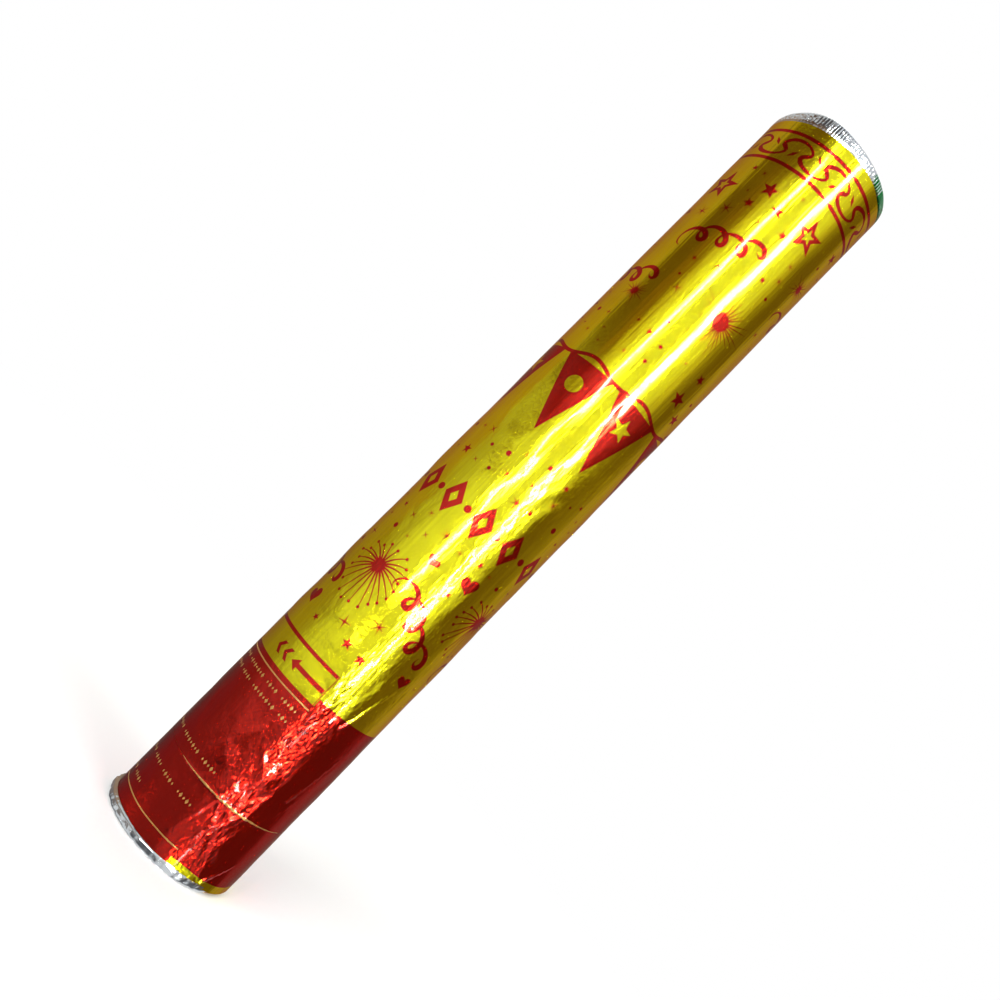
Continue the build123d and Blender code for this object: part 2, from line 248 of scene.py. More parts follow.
# Wad: a disc of open-cell foam, punched a little barrel-sided, glued on its card and pushed by the air.
# It seals the bore behind the confetti.
def open_cell_foam(cell_mm=0.9):
    """Soft off-white foam, pitted with cells, each painted darker towards its middle as painted shade in the
    pit.
    """
    made, tree, place = new_material("open_cell_polyurethane_foam")
    cell_pits_and_painted_shade = add(tree, "ShaderNodeTexVoronoi", {"Vector": place, "Scale": per_metre(cell_mm)})
    # Painted shade: the colour darkens towards the middle of each cell, where the bump sinks the pit.
    tone = add(tree, "ShaderNodeMix", {
        0: cell_pits_and_painted_shade.outputs["Distance"], 6: linear("#B8B7B0"), 7: linear("#E6E5DE")}, data_type="RGBA")
    bump = add(tree, "ShaderNodeBump", {
        "Strength": 0.8, "Distance": 0.0003, "Height": cell_pits_and_painted_shade.outputs["Distance"]})
    shader = add(tree, "ShaderNodeBsdfPrincipled", {
        "Base Color": tone.outputs[2], "Roughness": 0.95, "IOR": 1.4, "Sheen Weight": 0.2,
        "Normal": bump.outputs[0]})
    add(tree, "ShaderNodeOutputMaterial", {"Surface": shader.outputs[0]})
    return made


def new_piece(name, verts, faces, materials):
    """A smooth mesh object at the origin, from points in metres, linked into the scene."""
    mesh = bpy.data.meshes.new(name)
    mesh.from_pydata([tuple(point) for point in verts], [], faces)
    for material in materials:
        mesh.materials.append(material)
    mesh.shade_smooth()
    piece = bpy.data.objects.new(name, mesh)
    bpy.context.scene.collection.objects.link(piece)
    return piece


def foam_disc(low, high, segments=96, side_rings=9, edge_mm=0.8, waist_mm=0.25):
    """A closed disc with rounded edges and slightly hollow sides, as a punch leaves soft foam."""
    face_shares, edge_turns = (0.35, 0.7, 1.0), (0.5, 1.0, math.pi / 2)
    middle = (low.z + high.z) / 2
    half = (high.z - low.z) / 2
    edge = edge_mm / 1000
    flat = high.x - edge
    profile = [(flat * share, -half) for share in face_shares]
    profile += [(flat + edge * math.sin(turn), -half + edge * (1 - math.cos(turn))) for turn in edge_turns]
    below_side = len(profile)
    for ring in range(1, side_rings):
        level = (half - edge) * (2 * ring / side_rings - 1)
        profile.append((high.x - waist_mm / 1000 * (1 - (level / half) ** 2), level))
    profile += [(radius, -level) for radius, level in reversed(profile[:below_side])]
    verts = [(0, 0, low.z)]
    for radius, level in profile:
        for step in range(segments):
            angle = 2 * math.pi * step / segments
            verts.append((radius * math.cos(angle), radius * math.sin(angle), middle + level))
    verts.append((0, 0, high.z))
    last = len(verts) - 1
    faces = []
    for step in range(segments):
        after = (step + 1) % segments
        faces.append((0, 1 + after, 1 + step))
        for ring in range(len(profile) - 1):
            here, above = 1 + ring * segments, 1 + (ring + 1) * segments
            faces.append((here + step, here + after, above + after, above + step))
        top = 1 + (len(profile) - 1) * segments
        faces.append((top + step, top + after, last))
    return verts, faces


wad = new_piece("foam_wad", *foam_disc(*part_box("wad_foam")), [open_cell_foam()])
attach(wad, "wad")
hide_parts("wad_foam")


# Confetti: slips of metallised film, guillotined and packed in stacks of one colour, standing on the wad.
# Each stack is drawn with fewer and thicker leaves than the real one, so that the leaves show.
def metallised_slip(name, bright, deep, crease_mm=6.0):
    """Vacuum-metallised film in a tinted lacquer: a coloured mirror with faint creases."""
    made, tree, place = new_material(name)
    crease = add(tree, "ShaderNodeTexNoise", {"Vector": place, "Scale": per_metre(crease_mm), "Detail": 4.0})
    tone = add(tree, "ShaderNodeMix", {
        0: crease.outputs[0], 6: linear(bright), 7: linear(deep)}, data_type="RGBA")
    bump = add(tree, "ShaderNodeBump", {"Strength": 0.35, "Distance": 0.0004, "Height": crease.outputs[0]})
    shader = add(tree, "ShaderNodeBsdfPrincipled", {
        "Base Color": tone.outputs[2], "Metallic": 1.0, "Roughness": 0.24, "Normal": bump.outputs[0]})
    add(tree, "ShaderNodeOutputMaterial", {"Surface": shader.outputs[0]})
    return made


def slip_stack_tree(bends=8):
    """Geometry Nodes tree: a line of curled slips, each turned a little, from Start by Step."""
    tree = bpy.data.node_groups.new("slip_stack", "GeometryNodeTree")
    tree.interface.new_socket("Geometry", in_out="OUTPUT", socket_type="NodeSocketGeometry")
    for name, kind in (("Slips", "Int"), ("Start", "Vector"), ("Step", "Vector"), ("Slip size", "Vector"),
                       ("Curl", "Float"), ("Turn", "Float"), ("Scatter", "Float"), ("Seed", "Int"),
                       ("Film", "Material")):
        tree.interface.new_socket(name, in_out="INPUT", socket_type="NodeSocket" + kind)
    given = add(tree, "NodeGroupInput").outputs
    slip = add(tree, "GeometryNodeMeshCube", {"Size": given["Slip size"], "Vertices Z": bends})
    place = add(tree, "ShaderNodeSeparateXYZ", {0: add(tree, "GeometryNodeInputPosition").outputs[0]})
    square = add(tree, "ShaderNodeMath", {0: place.outputs[2], 1: place.outputs[2]}, operation="MULTIPLY")
    bow = add(tree, "ShaderNodeMath", {0: square.outputs[0], 1: given["Curl"]}, operation="MULTIPLY")
    bend = add(tree, "ShaderNodeCombineXYZ", {1: bow.outputs[0]})
    curled = add(tree, "GeometryNodeSetPosition", {"Geometry": slip.outputs[0], "Offset": bend.outputs[0]})
    line = add(tree, "GeometryNodeMeshLine", {
        "Count": given["Slips"], "Start Location": given["Start"], "Offset": given["Step"]})
    least = add(tree, "ShaderNodeMath", {0: given["Scatter"], 1: -1.0}, operation="MULTIPLY")
    lean = add(tree, "FunctionNodeRandomValue", {
        2: least.outputs[0], 3: given["Scatter"], 8: given["Seed"]}, data_type="FLOAT")
    turned = add(tree, "ShaderNodeMath", {0: lean.outputs[1], 1: given["Turn"]}, operation="ADD")
    angles = add(tree, "ShaderNodeCombineXYZ", {2: turned.outputs[0]})
    leaves = add(tree, "GeometryNodeInstanceOnPoints", {
        "Points": line.outputs[0], "Instance": curled.outputs[0], "Rotation": angles.outputs[0]})
    real = add(tree, "GeometryNodeRealizeInstances", {0: leaves.outputs[0]})
    coloured = add(tree, "GeometryNodeSetMaterial", {
        "Geometry": real.outputs[0], "Material": given["Film"]})
    add(tree, "NodeGroupOutput", {0: coloured.outputs[0]})
    return tree


def grown(tree, inputs):
    """The plain mesh that a Geometry Nodes tree makes from its named inputs."""
    carrier = bpy.data.objects.new("carrier", bpy.data.meshes.new("carrier"))
    bpy.context.scene.collection.objects.link(carrier)
    modifier = carrier.modifiers.new("tree", "NODES")
    modifier.node_group = tree
    for item in tree.interface.items_tree:
        if item.in_out == "INPUT":
            modifier[item.identifier] = inputs[item.name]
    result = carrier.evaluated_get(bpy.context.evaluated_depsgraph_get())
    mesh = bpy.data.meshes.new_from_object(result)
    carrier.modifiers.remove(modifier)
    bpy.data.objects.remove(carrier)
    return mesh


def stack_boxes(node):
    """The lowest and highest corner of each stack in a confetti node: the islands of its merged mesh."""
    shape = bmesh.new()
    shape.from_mesh(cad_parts[node].data)
    bmesh.ops.remove_doubles(shape, verts=shape.verts, dist=1e-6)
    left = set(shape.verts)
    boxes = []
    while left:
        island = [min(left, key=lambda vert: vert.index)]
        left.discard(island[0])
        for vert in island:
            for edge in vert.link_edges:
                other = edge.other_vert(vert)
                if other in left:
                    left.discard(other)
                    island.append(other)
        points = np.array([vert.co for vert in island])
        boxes.append((points.min(0), points.max(0)))
    shape.free()
    return sorted(boxes, key=lambda box: tuple(box[0]))


leaf_pitch = 0.00055
leaf_thickness = 0.00035
leaf_margin = 0.0003
leaf_curl = 0.12
leaf_scatter = 0.008
slip_tree = slip_stack_tree()
slip_colours = {
    "gold": ("#E3C02C", "#C39A1A"),
    "red": ("#C4221C", "#9C1512"),
    "green": ("#1E9A48", "#127634"),
    "silver": ("#DADCDF", "#B9BCC1"),
    "blue": ("#2450B8", "#183A92"),
}
for seed, (colour, (bright, deep)) in enumerate(slip_colours.items()):
    node = f"confetti_{colour}"
    film = metallised_slip(f"metallised_film_slips_{colour}", bright, deep)
    shape = bmesh.new()
    for number, (low, high) in enumerate(stack_boxes(node)):
        size = high - low
        thin = 1 if size[0] > size[1] else 0
        count = int((size[thin] - 2 * leaf_margin) / leaf_pitch)
        step = np.zeros(3)
        step[thin] = leaf_pitch
        start = (low + high) / 2 - step * (count - 1) / 2
        wide = size[1 - thin] - 4 * leaf_margin
        stack = grown(slip_tree, {
            "Slips": count, "Start": start.tolist(), "Step": step.tolist(),
            "Slip size": (wide, leaf_thickness, size[2] - 2 * leaf_margin), "Curl": leaf_curl,
            "Turn": 0.0 if thin else math.pi / 2, "Scatter": leaf_scatter, "Seed": 10 * seed + number,
            "Film": film})
        shape.from_mesh(stack)
        bpy.data.meshes.remove(stack)
    slips = new_piece(f"slips_{colour}", [], [], [film])
    shape.to_mesh(slips.data)
    shape.free()
    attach(slips, "confetti")
    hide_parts(node)


# Printed film: one sheet of vacuum-metallised polyester, lacquered lemon gold, printed with red ink and
# wrapped round the tubes with a glued lap at the back. It cracks at the twist line, which parts it in two.
# The hands crumple it there, so it is creased low down and tight and streaky above.
mm = 0.001
film_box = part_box("barrel_wrap")
grip_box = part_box("grip_wrap")
film_radius = film_box[1].x / mm
board_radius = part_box("barrel_tube")[1].x / mm
film_seat = 0.03
film_rise = 0.2
lap_width = 5.0
lap_step = 0.14
half_sheet = math.pi * film_radius + lap_width / 2
twist_height = (film_box[0].z + grip_box[1].z) / 2 / mm
crack_gap = 0.025
film_top = film_box[1].z / mm
film_bottom = grip_box[0].z / mm
marks = []


def mark(ink, *outlines):
    """Adds outlines to the print, in mm round and up the sheet. Later marks lie over earlier ones."""
    marks.extend((ink, np.asarray(outline, float)) for outline in outlines)


def round_to(degrees):
    """Millimetres round the sheet from the middle of its front."""
    return math.radians(degrees) * film_radius


def bar(left, right, low, high):
    return [(left, low), (right, low), (right, high), (left, high)]


def star(u, v, size, turn=0.0, points=5, waist=0.42):
    angle = np.arange(2 * points) * math.pi / points + math.pi / 2 + turn
    reach = np.where(np.arange(2 * points) % 2, waist * size, size)
    return np.stack([u + reach * np.cos(angle), v + reach * np.sin(angle)], 1)


def dot(u, v, size, sides=14):
    return star(u, v, size, points=sides // 2, waist=1.0)


def heart(u, v, size, turn=0.0, sides=36):
    t = np.linspace(0, 2 * math.pi, sides, endpoint=False)
    across = 16 * np.sin(t) ** 3
    up = 13 * np.cos(t) - 5 * np.cos(2 * t) - 2 * np.cos(3 * t) - np.cos(4 * t)
    c, s = math.cos(turn) * size / 17, math.sin(turn) * size / 17
    return np.stack([u - across * c - up * s, v - across * s + up * c], 1)


def burst(u, v, core, reach, rays, rng):
    """Needle rays of uneven length round a core, as one outline."""
    outline = []
    for ray in range(rays):
        angle = 2 * math.pi * (ray + rng.uniform(-0.25, 0.25)) / rays
        tip = reach * rng.uniform(0.45, 1.0)
        foot = 0.42 * 2 * math.pi / rays
        for turn, length in ((-foot, core), (0.0, tip), (foot, core)):
            outline.append((u + length * math.cos(angle + turn), v + length * math.sin(angle + turn)))
    return outline


def ribbon(line, widths):
    """Short quads along a line of points, as wide as given at each point."""
    line = np.asarray(line, float)
    along = np.gradient(line, axis=0)
    along /= np.linalg.norm(along, axis=1)[:, None]
    side = np.stack([-along[:, 1], along[:, 0]], 1) * np.asarray(widths)[:, None] / 2
    left, right = line + side, line - side
    return [(left[k], right[k], right[k + 1], left[k + 1]) for k in range(len(line) - 1)]


def streamer(u, v, length, loops, size, width, turn):
    """A paper streamer in loops, narrow where it turns edge-on."""
    t = np.linspace(0, 2 * math.pi * loops, int(30 * loops) + 8)
    across = length * (t / t[-1] - 0.5) - size * np.sin(t)
    up = size * (1 - np.cos(t)) + 1.6 * np.sin(t / loops)
    c, s = math.cos(turn), math.sin(turn)
    line = np.stack([u + across * c - up * s, v + across * s + up * c], 1)
    taper = np.clip(np.sin(math.pi * t / t[-1]) * 4, 0.15, 1)
    return ribbon(line, width * taper * (0.3 + 0.7 * np.abs(np.cos(t / 2 + 0.6))))


def firework(u, v, reach, rays, rng, fall=0.3, spark=0.55):
    """Thin trails that fall over as they leave the middle, each with a spark at its end."""
    outlines = []
    for ray in range(rays):
        angle = 2 * math.pi * (ray + rng.uniform(-0.2, 0.2)) / rays
        length = reach * rng.uniform(0.7, 1.0)
        t = np.linspace(0.12, 1, 9)
        line = np.stack([
            u + length * t * math.cos(angle), v + length * (t * math.sin(angle) - fall * t**2)], 1)
        outlines += ribbon(line, 0.75 - 0.5 * t)
        outlines.append(dot(line[-1][0], line[-1][1], spark, 8))
    return outlines


# The print. The muzzle has a running wave between two rings.
ring_low, ring_high, ring_width = 279.6, 291.7, 1.35
wave_count, wave_width, wave_tall = 9, 1.6, 3.5
wave_lean, wave_hook = 2.9, 0.5
fleck_size, fleck_turn, fleck_share = 2.1, 0.7, 0.42
for height in (ring_low, ring_high):
    mark("red", bar(-half_sheet, half_sheet, height - ring_width / 2, height + ring_width / 2))
wave_angle = np.linspace(-math.pi * wave_count, math.pi * wave_count, 24 * wave_count)
wave_middle = (ring_low + ring_high) / 2
wave_line = np.stack([
    wave_angle * film_radius / wave_count - wave_lean * np.sin(2 * wave_angle),
    wave_middle + wave_tall * np.sin(wave_angle) - wave_hook * np.sin(3 * wave_angle)], 1)
wave_inside = np.abs(wave_line[:, 0]) < half_sheet - lap_width
nib = wave_width * (0.5 + 0.5 * np.abs(np.cos(wave_angle - 0.5)))
mark("red", *ribbon(wave_line[wave_inside], nib[wave_inside]))
for number in range(2 * wave_count - 2):
    side = 1 if number % 2 else -1
    u = math.pi * film_radius / wave_count * (number - wave_count + 1.5)
    v = wave_middle + wave_tall * fleck_share * side
    mark("red", star(u, v, fleck_size, fleck_turn * side, points=2, waist=0.3))

# The large figures of the upper part, by degrees round from the front and millimetres up
draw = np.random.default_rng(7)
large_bursts = ((22, 229, 14), (-96, 240, 13), (128, 226, 14), (-158, 222, 12))
small_bursts = ((-46, 219, 6.5), (57, 258, 6.5), (82, 214, 7), (166, 256, 6), (-122, 208, 6))
for core, rays, bursts in ((2.9, 30, large_bursts), (1.3, 17, small_bursts)):
    for degrees, height, reach in bursts:
        mark("red", burst(round_to(degrees), height, core, reach, rays, draw))
star_size, star_eye = 6.2, 2.6
for degrees, height, turn in ((24, 268, 0.2), (-62, 266, -0.15), (104, 269, 0.1), (-138, 266, 0.3)):
    mark("red", star(round_to(degrees), height, star_size, turn))
    mark("gold", star(round_to(degrees), height, star_eye, turn))
streamer_length, streamer_loops = 27, 4.2
for degrees, height, turn in ((-18, 246, 0.5), (88, 240, -0.3), (-72, 222, 0.3), (-176, 240, 0.2)):
    mark("red", *streamer(round_to(degrees), height, streamer_length, streamer_loops, 2.7, 1.9, turn))
trail_pitch, trail_drop, trail_star, trail_shrink, trail_turn = 6.5, 4.2, 3.2, 0.7, 0.3
for degrees, height in ((-22, 270), (44, 204), (140, 248), (-106, 262)):
    for step in range(3):
        mark("red", star(round_to(degrees) + trail_pitch * step, height - trail_drop * step,
                         trail_star - trail_shrink * step, trail_turn * step))

# A string of pennants, with a spot or a star on each, goes round the middle
pennant_count, pennant_width, pennant_drop = 7, 18.6, 29.0
string_height, string_sag, string_width = 194.0, 2.4, 1.3
badge_height = string_height - 0.36 * pennant_drop
badge_star, badge_spot, tip_stray = 4.0, 2.9, 1.6
pitch = 2 * math.pi * film_radius / pennant_count
string_u = np.linspace(-half_sheet + lap_width, half_sheet - lap_width, 220)


def string_level(u):
    return string_height - string_sag * np.sin(math.pi * (u / pitch + 0.5)) ** 2


mark("red", *ribbon(np.stack([string_u, string_level(string_u)], 1), np.full(len(string_u), string_width)))
for number in range(pennant_count - 1):
    u = pitch * (number - (pennant_count - 2) / 2)
    left, right = u - pennant_width / 2, u + pennant_width / 2
    lean = draw.uniform(-tip_stray, tip_stray)
    tip = (u + lean, string_level(u) - pennant_drop)
    mark("red", [(left, string_level(left)), tip, (right, string_level(right))])
    if number % 2:
        mark("gold", star(u + 0.2 * lean, badge_height, badge_star))
    else:
        mark("gold", dot(u + 0.2 * lean, badge_height, badge_spot, 24))

# A row of lozenges and spots below it
lozenge_count, lozenge_width, lozenge_tall, row_height = 12, 7.4, 12.5, 134.0
lozenge_waist, lozenge_eye, lozenge_spot = lozenge_width / lozenge_tall, 0.36 * lozenge_tall / 2, 1.25
for number in range(lozenge_count - 1):
    u = 2 * math.pi * film_radius / lozenge_count * (number - (lozenge_count - 2) / 2)
    mark("red", star(u, row_height, lozenge_tall / 2, points=2, waist=lozenge_waist))
    mark("gold", star(u, row_height, lozenge_eye, points=2, waist=lozenge_waist))
    mark("red", dot(u + math.pi * film_radius / lozenge_count, row_height, lozenge_spot))

# Fireworks, streamers and hearts above the red foot
firework_trails, spark_core, spark_reach, spark_rays = 22, 1.6, 4.5, 12
for degrees, height, reach in ((-34, 104, 12), (62, 112, 12), (150, 104, 12), (-128, 108, 11)):
    mark("red", *firework(round_to(degrees), height, reach, firework_trails, draw))
    mark("red", burst(round_to(degrees), height, spark_core, spark_reach, spark_rays, draw))
for degrees, height, turn in ((14, 96, -0.5), (104, 92, 0.3), (-88, 94, -0.2), (-168, 90, 0.4)):
    mark("red", *streamer(round_to(degrees), height, streamer_length, streamer_loops, 2.8, 2.0, turn))
hearts = ((26, 118, 3.4, 0.3), (-6, 116, 2.4, -0.3), (44, 84, 2.6, 0.2), (-62, 84, 3.2, 0.4),
          (88, 116, 3.0, -0.2), (124, 80, 3.0, 0.2), (-106, 80, 2.6, 0.0))
for degrees, height, size, turn in hearts:
    mark("red", heart(round_to(degrees), height, size, turn))

# Small stars, sparks and spots fill the gaps, kept clear of the figures and of each other
fill_trials, fill_gap, fill_margin, ribbon_reach = 2600, 2.2, 9, 2.0
fill_zones = ((80, 126), (144, 160), (198, 275))
taken = [outline.mean(0).tolist() + [np.ptp(outline, axis=0).max() / 2]
         for ink, outline in marks if len(outline) > 4]
taken += [outline.mean(0).tolist() + [ribbon_reach] for ink, outline in marks if len(outline) == 4]
for trial in range(fill_trials):
    u = draw.uniform(-half_sheet + fill_margin, half_sheet - fill_margin)
    v = draw.choice([draw.uniform(*zone) for zone in fill_zones])
    size = draw.uniform(0.8, 2.4)
    kind = draw.integers(4)
    turn = draw.uniform(0, math.pi)
    if all(math.hypot(u - a, v - b) > reach + size + fill_gap for a, b, reach in taken):
        taken.append([u, v, size])
        if kind == 0:
            mark("red", star(u, v, size, turn))
        elif kind == 1:
            mark("red", dot(u, v, 0.45 * size, 10))
        else:
            mark("red", star(u, v, 1.25 * size, turn, points=6 if kind == 2 else 4, waist=0.16))

# The red foot: a tall panel on the right, a lower one with bronze lines on the left, and the twist arrow
panel_edge, line_end = round_to(5.4), round_to(8)
left_top, right_top, box_top, box_line = 62.3, 64.9, 73.3, 1.2
foot_overrun, gold_foot = 1, 2.1
mark("red", bar(-half_sheet, line_end, film_bottom - foot_overrun, left_top))
mark("red", bar(panel_edge, half_sheet, film_bottom + gold_foot, right_top))
mark("red", bar(-half_sheet, round_to(4), box_top - box_line, box_top))
mark("red", bar(round_to(4.2), round_to(4.9), left_top, box_top))
for line_to, low, high in ((panel_edge, 60.1, 60.55), (line_end, 7.15, 7.55)):
    mark("line", bar(-half_sheet, line_to, low, high))
arrow_height, arrow_tall, shaft_half = 66.9, 2.1, 0.75
arrow_low, arrow_high = arrow_height - arrow_tall, arrow_height + arrow_tall
head_tip, head_back = round_to(-30), round_to(-23.4)
mark("red", bar(round_to(-24), round_to(3.6), arrow_height - shaft_half, arrow_height + shaft_half))
mark("red", [(head_tip, arrow_height), (head_back, arrow_low), (head_back, arrow_high)])
chevron_back, chevron_thick = 1.7, 1.6
for degrees in (-50, -40.5):
    tip = round_to(degrees)
    back = tip + chevron_back
    mark("red", [(tip, arrow_height), (back, arrow_low), (back + chevron_thick, arrow_low),
                 (tip + chevron_thick, arrow_height), (back + chevron_thick, arrow_high), (back, arrow_high)])
# Rows of small bronze beads on the lower panel, in short runs
bead_pitch, run_gap = 1.35, 1.6
for height, degrees in ((57.4, 3), (53.6, 2), (29.4, -9), (18.4, -7), (10.6, -50)):
    u, row_end = round_to(-165), round_to(degrees)
    while u < row_end:
        for bead in range(draw.integers(4, 9)):
            if u < row_end:
                mark("line", star(u, height, 0.8 if bead % 2 else 0.5, points=2, waist=0.62))
            u += bead_pitch
        u += run_gap
# The ink has flaked along the crack at the twist line, in an uneven strip that shines like the bronze
crack_points, crack_widest, crack_least = 90, 0.42, 0.09
crack_u = np.linspace(round_to(-38), round_to(66), crack_points)
crack_swell = np.sin(np.linspace(0.1, math.pi - 0.05, crack_points)) ** 2
crack_wide = crack_widest * crack_swell * draw.uniform(0.1, 1.0, crack_points) + crack_least
mark("line", np.concatenate([np.stack([crack_u, twist_height - crack_wide], 1),
                             np.stack([crack_u, twist_height + crack_wide], 1)[::-1]]))


def eased(value, low, high):
    """0 below low, 1 above high and a smooth rise between."""
    share = np.clip((value - low) / (high - low), 0, 1)
    return share * share * (3 - 2 * share)


def swells(u, v, wide, tall, seed, table=97):
    """Smooth random swells, 0 to 1, of a width and a height in millimetres."""
    level = np.random.default_rng(seed).random((table, table))
    column, row = np.floor(u / wide).astype(int), np.floor(v / tall).astype(int)
    x, y = eased(u / wide - column, 0, 1), eased(v / tall - row, 0, 1)
    a, b, c, d = (level[(column + i) % table, (row + j) % table] for i, j in ((0, 0), (1, 0), (0, 1), (1, 1)))
    return (a * (1 - x) + b * x) * (1 - y) + (c * (1 - x) + d * x) * y


def folds(u, v, wide, tall, seed, table=97):
    """A crumpled sheet's height, 0 to 1: flat three-cornered facets that meet in sharp creases."""
    rng = np.random.default_rng(seed)
    peak = rng.random((table, table))
    slanted = rng.random((table, table)) < 0.5
    sway = rng.uniform(0, 2 * math.pi, 4)
    across = u / wide + 0.24 * np.sin(2.3 * v / tall + sway[0]) + 0.16 * np.sin(1.1 * u / wide + sway[1])
    along = v / tall + 0.24 * np.sin(1.9 * u / wide + sway[2]) + 0.16 * np.sin(1.3 * v / tall + sway[3])
    column, row = np.floor(across).astype(int), np.floor(along).astype(int)
    x, y = across - column, along - row
    a, b, c, d = (peak[(column + i) % table, (row + j) % table] for i, j in ((0, 0), (1, 0), (0, 1), (1, 1)))
    falling = np.where(x + y < 1, a + x * (b - a) + y * (c - a), d + (1 - x) * (c - d) + (1 - y) * (b - d))
    rising = np.where(y < x, a + x * (b - a) + y * (d - b), a + y * (c - a) + x * (d - c))
    return np.where(slanted[column % table, row % table], falling, rising)


def crumple(u, v):
    """How far the film is crumpled, from 0, tight, to 1. Fingers have gripped it in three places."""
    thumb_u, thumb_v, thumb_wide, thumb_tall = round_to(-14), 35, 5.5, 4.5
    held = 0.0
    for degrees, width in ((16, 6.5), (135, 9.0), (-150, 8.0)):
        held = held + np.exp(-((u - round_to(degrees)) / width) ** 2)
    thumb = np.exp(-((u - thumb_u) / thumb_wide) ** 2 - ((v - thumb_v) / thumb_tall) ** 2)
    patch = eased(swells(u, v, 9, 16, 3), 0.35, 0.7)
    foot = 1 - eased(v, 62, 84)
    above = (1 - foot) * (1 - eased(v, 120, 215))
    gripped = 0.9 * held + 0.6 * thumb + 0.05 + 0.14 * patch
    return np.clip(foot * gripped + above * (0.22 * held + 0.06 + 0.22 * patch) + 0.02, 0, 1)


# Folds fan out from the twist line where the hands held it, and three long ones lie by themselves.
# Each long one has degrees round and millimetres up for both ends, and how far it stands.
twist_folds = []
fan = np.random.default_rng(41)
fan_spread, fan_lean, fan_half_width, long_half_width = 4.5, 0.55, 1.1, 0.75
long_folds = ((38, 4.0, 52, 12.0, 0.36), (32, 62.0, 45, 80.0, 0.4), (44, 36.0, 55, 54.0, 0.28))
for degrees, count in ((18, 9), (135, 7), (-150, 7)):
    for number in range(count):
        start = np.array([round_to(degrees) + fan.normal(0, fan_spread), twist_height])
        rise = fan.uniform(9, 24) if number % 2 else -fan.uniform(9, 20)
        end = start + np.array([fan.uniform(-fan_lean, fan_lean) * rise, rise])
        twist_folds.append((start, end, fan.uniform(0.12, 0.26), fan_half_width))
for begin, low, degrees, high, tall in long_folds:
    start, end = np.array([round_to(begin), low]), np.array([round_to(degrees), high])
    twist_folds.append((start, end, tall, long_half_width))


def ridge(u, v, start, end, tall, half_width):
    """Height of a long straight fold in the film, sharp along its top and lower towards its end."""
    along = end - start
    share = np.clip(((u - start[0]) * along[0] + (v - start[1]) * along[1]) / (along @ along), 0, 1)
    away = np.hypot(u - start[0] - share * along[0], v - start[1] - share * along[1])
    return tall * (1 - 0.7 * share) * np.clip(1 - away / half_width, 0, 1)


def film_height(u, v):
    """Height of the film's outside over its tight radius: random swells and folds, and the long folds."""
    deepest, highest, lip_tall = -0.07, 0.6, 0.12
    hand = crumple(u, v)
    loose = eased(v, 66, 90) * (1 - eased(v, 150, 215))
    # Each layer has its kind, the width and height of its features, a seed, and how far it stands
    layers = (
        (swells, 7, 13, 21, 0.13 + 0.14 * loose + 0.5 * hand),
        (folds, 5.0, 14.0, 25, 0.15 * loose),
        (folds, 4.2, 8.0, 22, 0.7 * hand),
        (folds, 1.9, 3.4, 23, 0.42 * hand),
        (swells, 2.0, 60, 24, 0.07 * (1 - 0.6 * hand)),
    )
    height = 0.0
    for shape, wide, tall, seed, stands in layers:
        height = height + (shape(u, v, wide, tall, seed) - 0.5) * stands
    for start, end, tall, half_width in twist_folds:
        height = height + ridge(u, v, start, end, tall, half_width)
    lip = np.exp(-np.abs(v - twist_height) / 0.5) * np.exp(-((u - round_to(14)) / 26) ** 2)
    settled = 1 - eased(np.abs(u), half_sheet - 11, half_sheet - 6)
    return np.clip((height + lip_tall * lip) * settled, deepest, highest)


def sheet_rows(low, high, crumpled_to=72, loose_to=140, last_gap=0.6):
    """Heights of the mesh's rows: close where the film is crumpled."""
    rows = [low]
    while rows[-1] < high - last_gap:
        rows.append(rows[-1] + (0.45 if rows[-1] < crumpled_to else 0.8 if rows[-1] < loose_to else 2.0))
    return rows[1:]


def row_places(v, fine=0.45, coarse=0.8):
    """Places of the mesh's points along a row, closer where the film is crumpled."""
    u = np.linspace(-half_sheet, half_sheet, 700)
    step = coarse + (fine - coarse) * np.clip(2.5 * crumple(u, np.full_like(u, v)), 0, 1)
    count = np.concatenate([[0], np.cumsum(np.diff(u) / step[1:])])
    return np.interp(np.arange(0.6, count[-1] - 0.4), count, u)


def spread(start, end, step):
    """Even places from start to end, about a step apart."""
    return np.linspace(start, end, max(2, int(abs(end - start) / step) + 1))


def dense(outline, step=0.8):
    """An outline with points added, so that its long sides follow the rolled sheet."""
    points = []
    for here, after in zip(outline, np.roll(outline, -1, axis=0)):
        count = max(1, int(np.ceil(np.linalg.norm(after - here) / step)))
        points += [here + (after - here) * part / count for part in range(count)]
    return points


def within(points, outline):
    """Whether each point lies inside an outline."""
    x, y = points.T
    inside = np.zeros(len(points), bool)
    for (ax, ay), (bx, by) in zip(outline, np.roll(outline, -1, axis=0)):
        if ay != by:
            inside ^= ((ay > y) != (by > y)) & (x < ax + (y - ay) * (bx - ax) / (by - ay))
    return inside


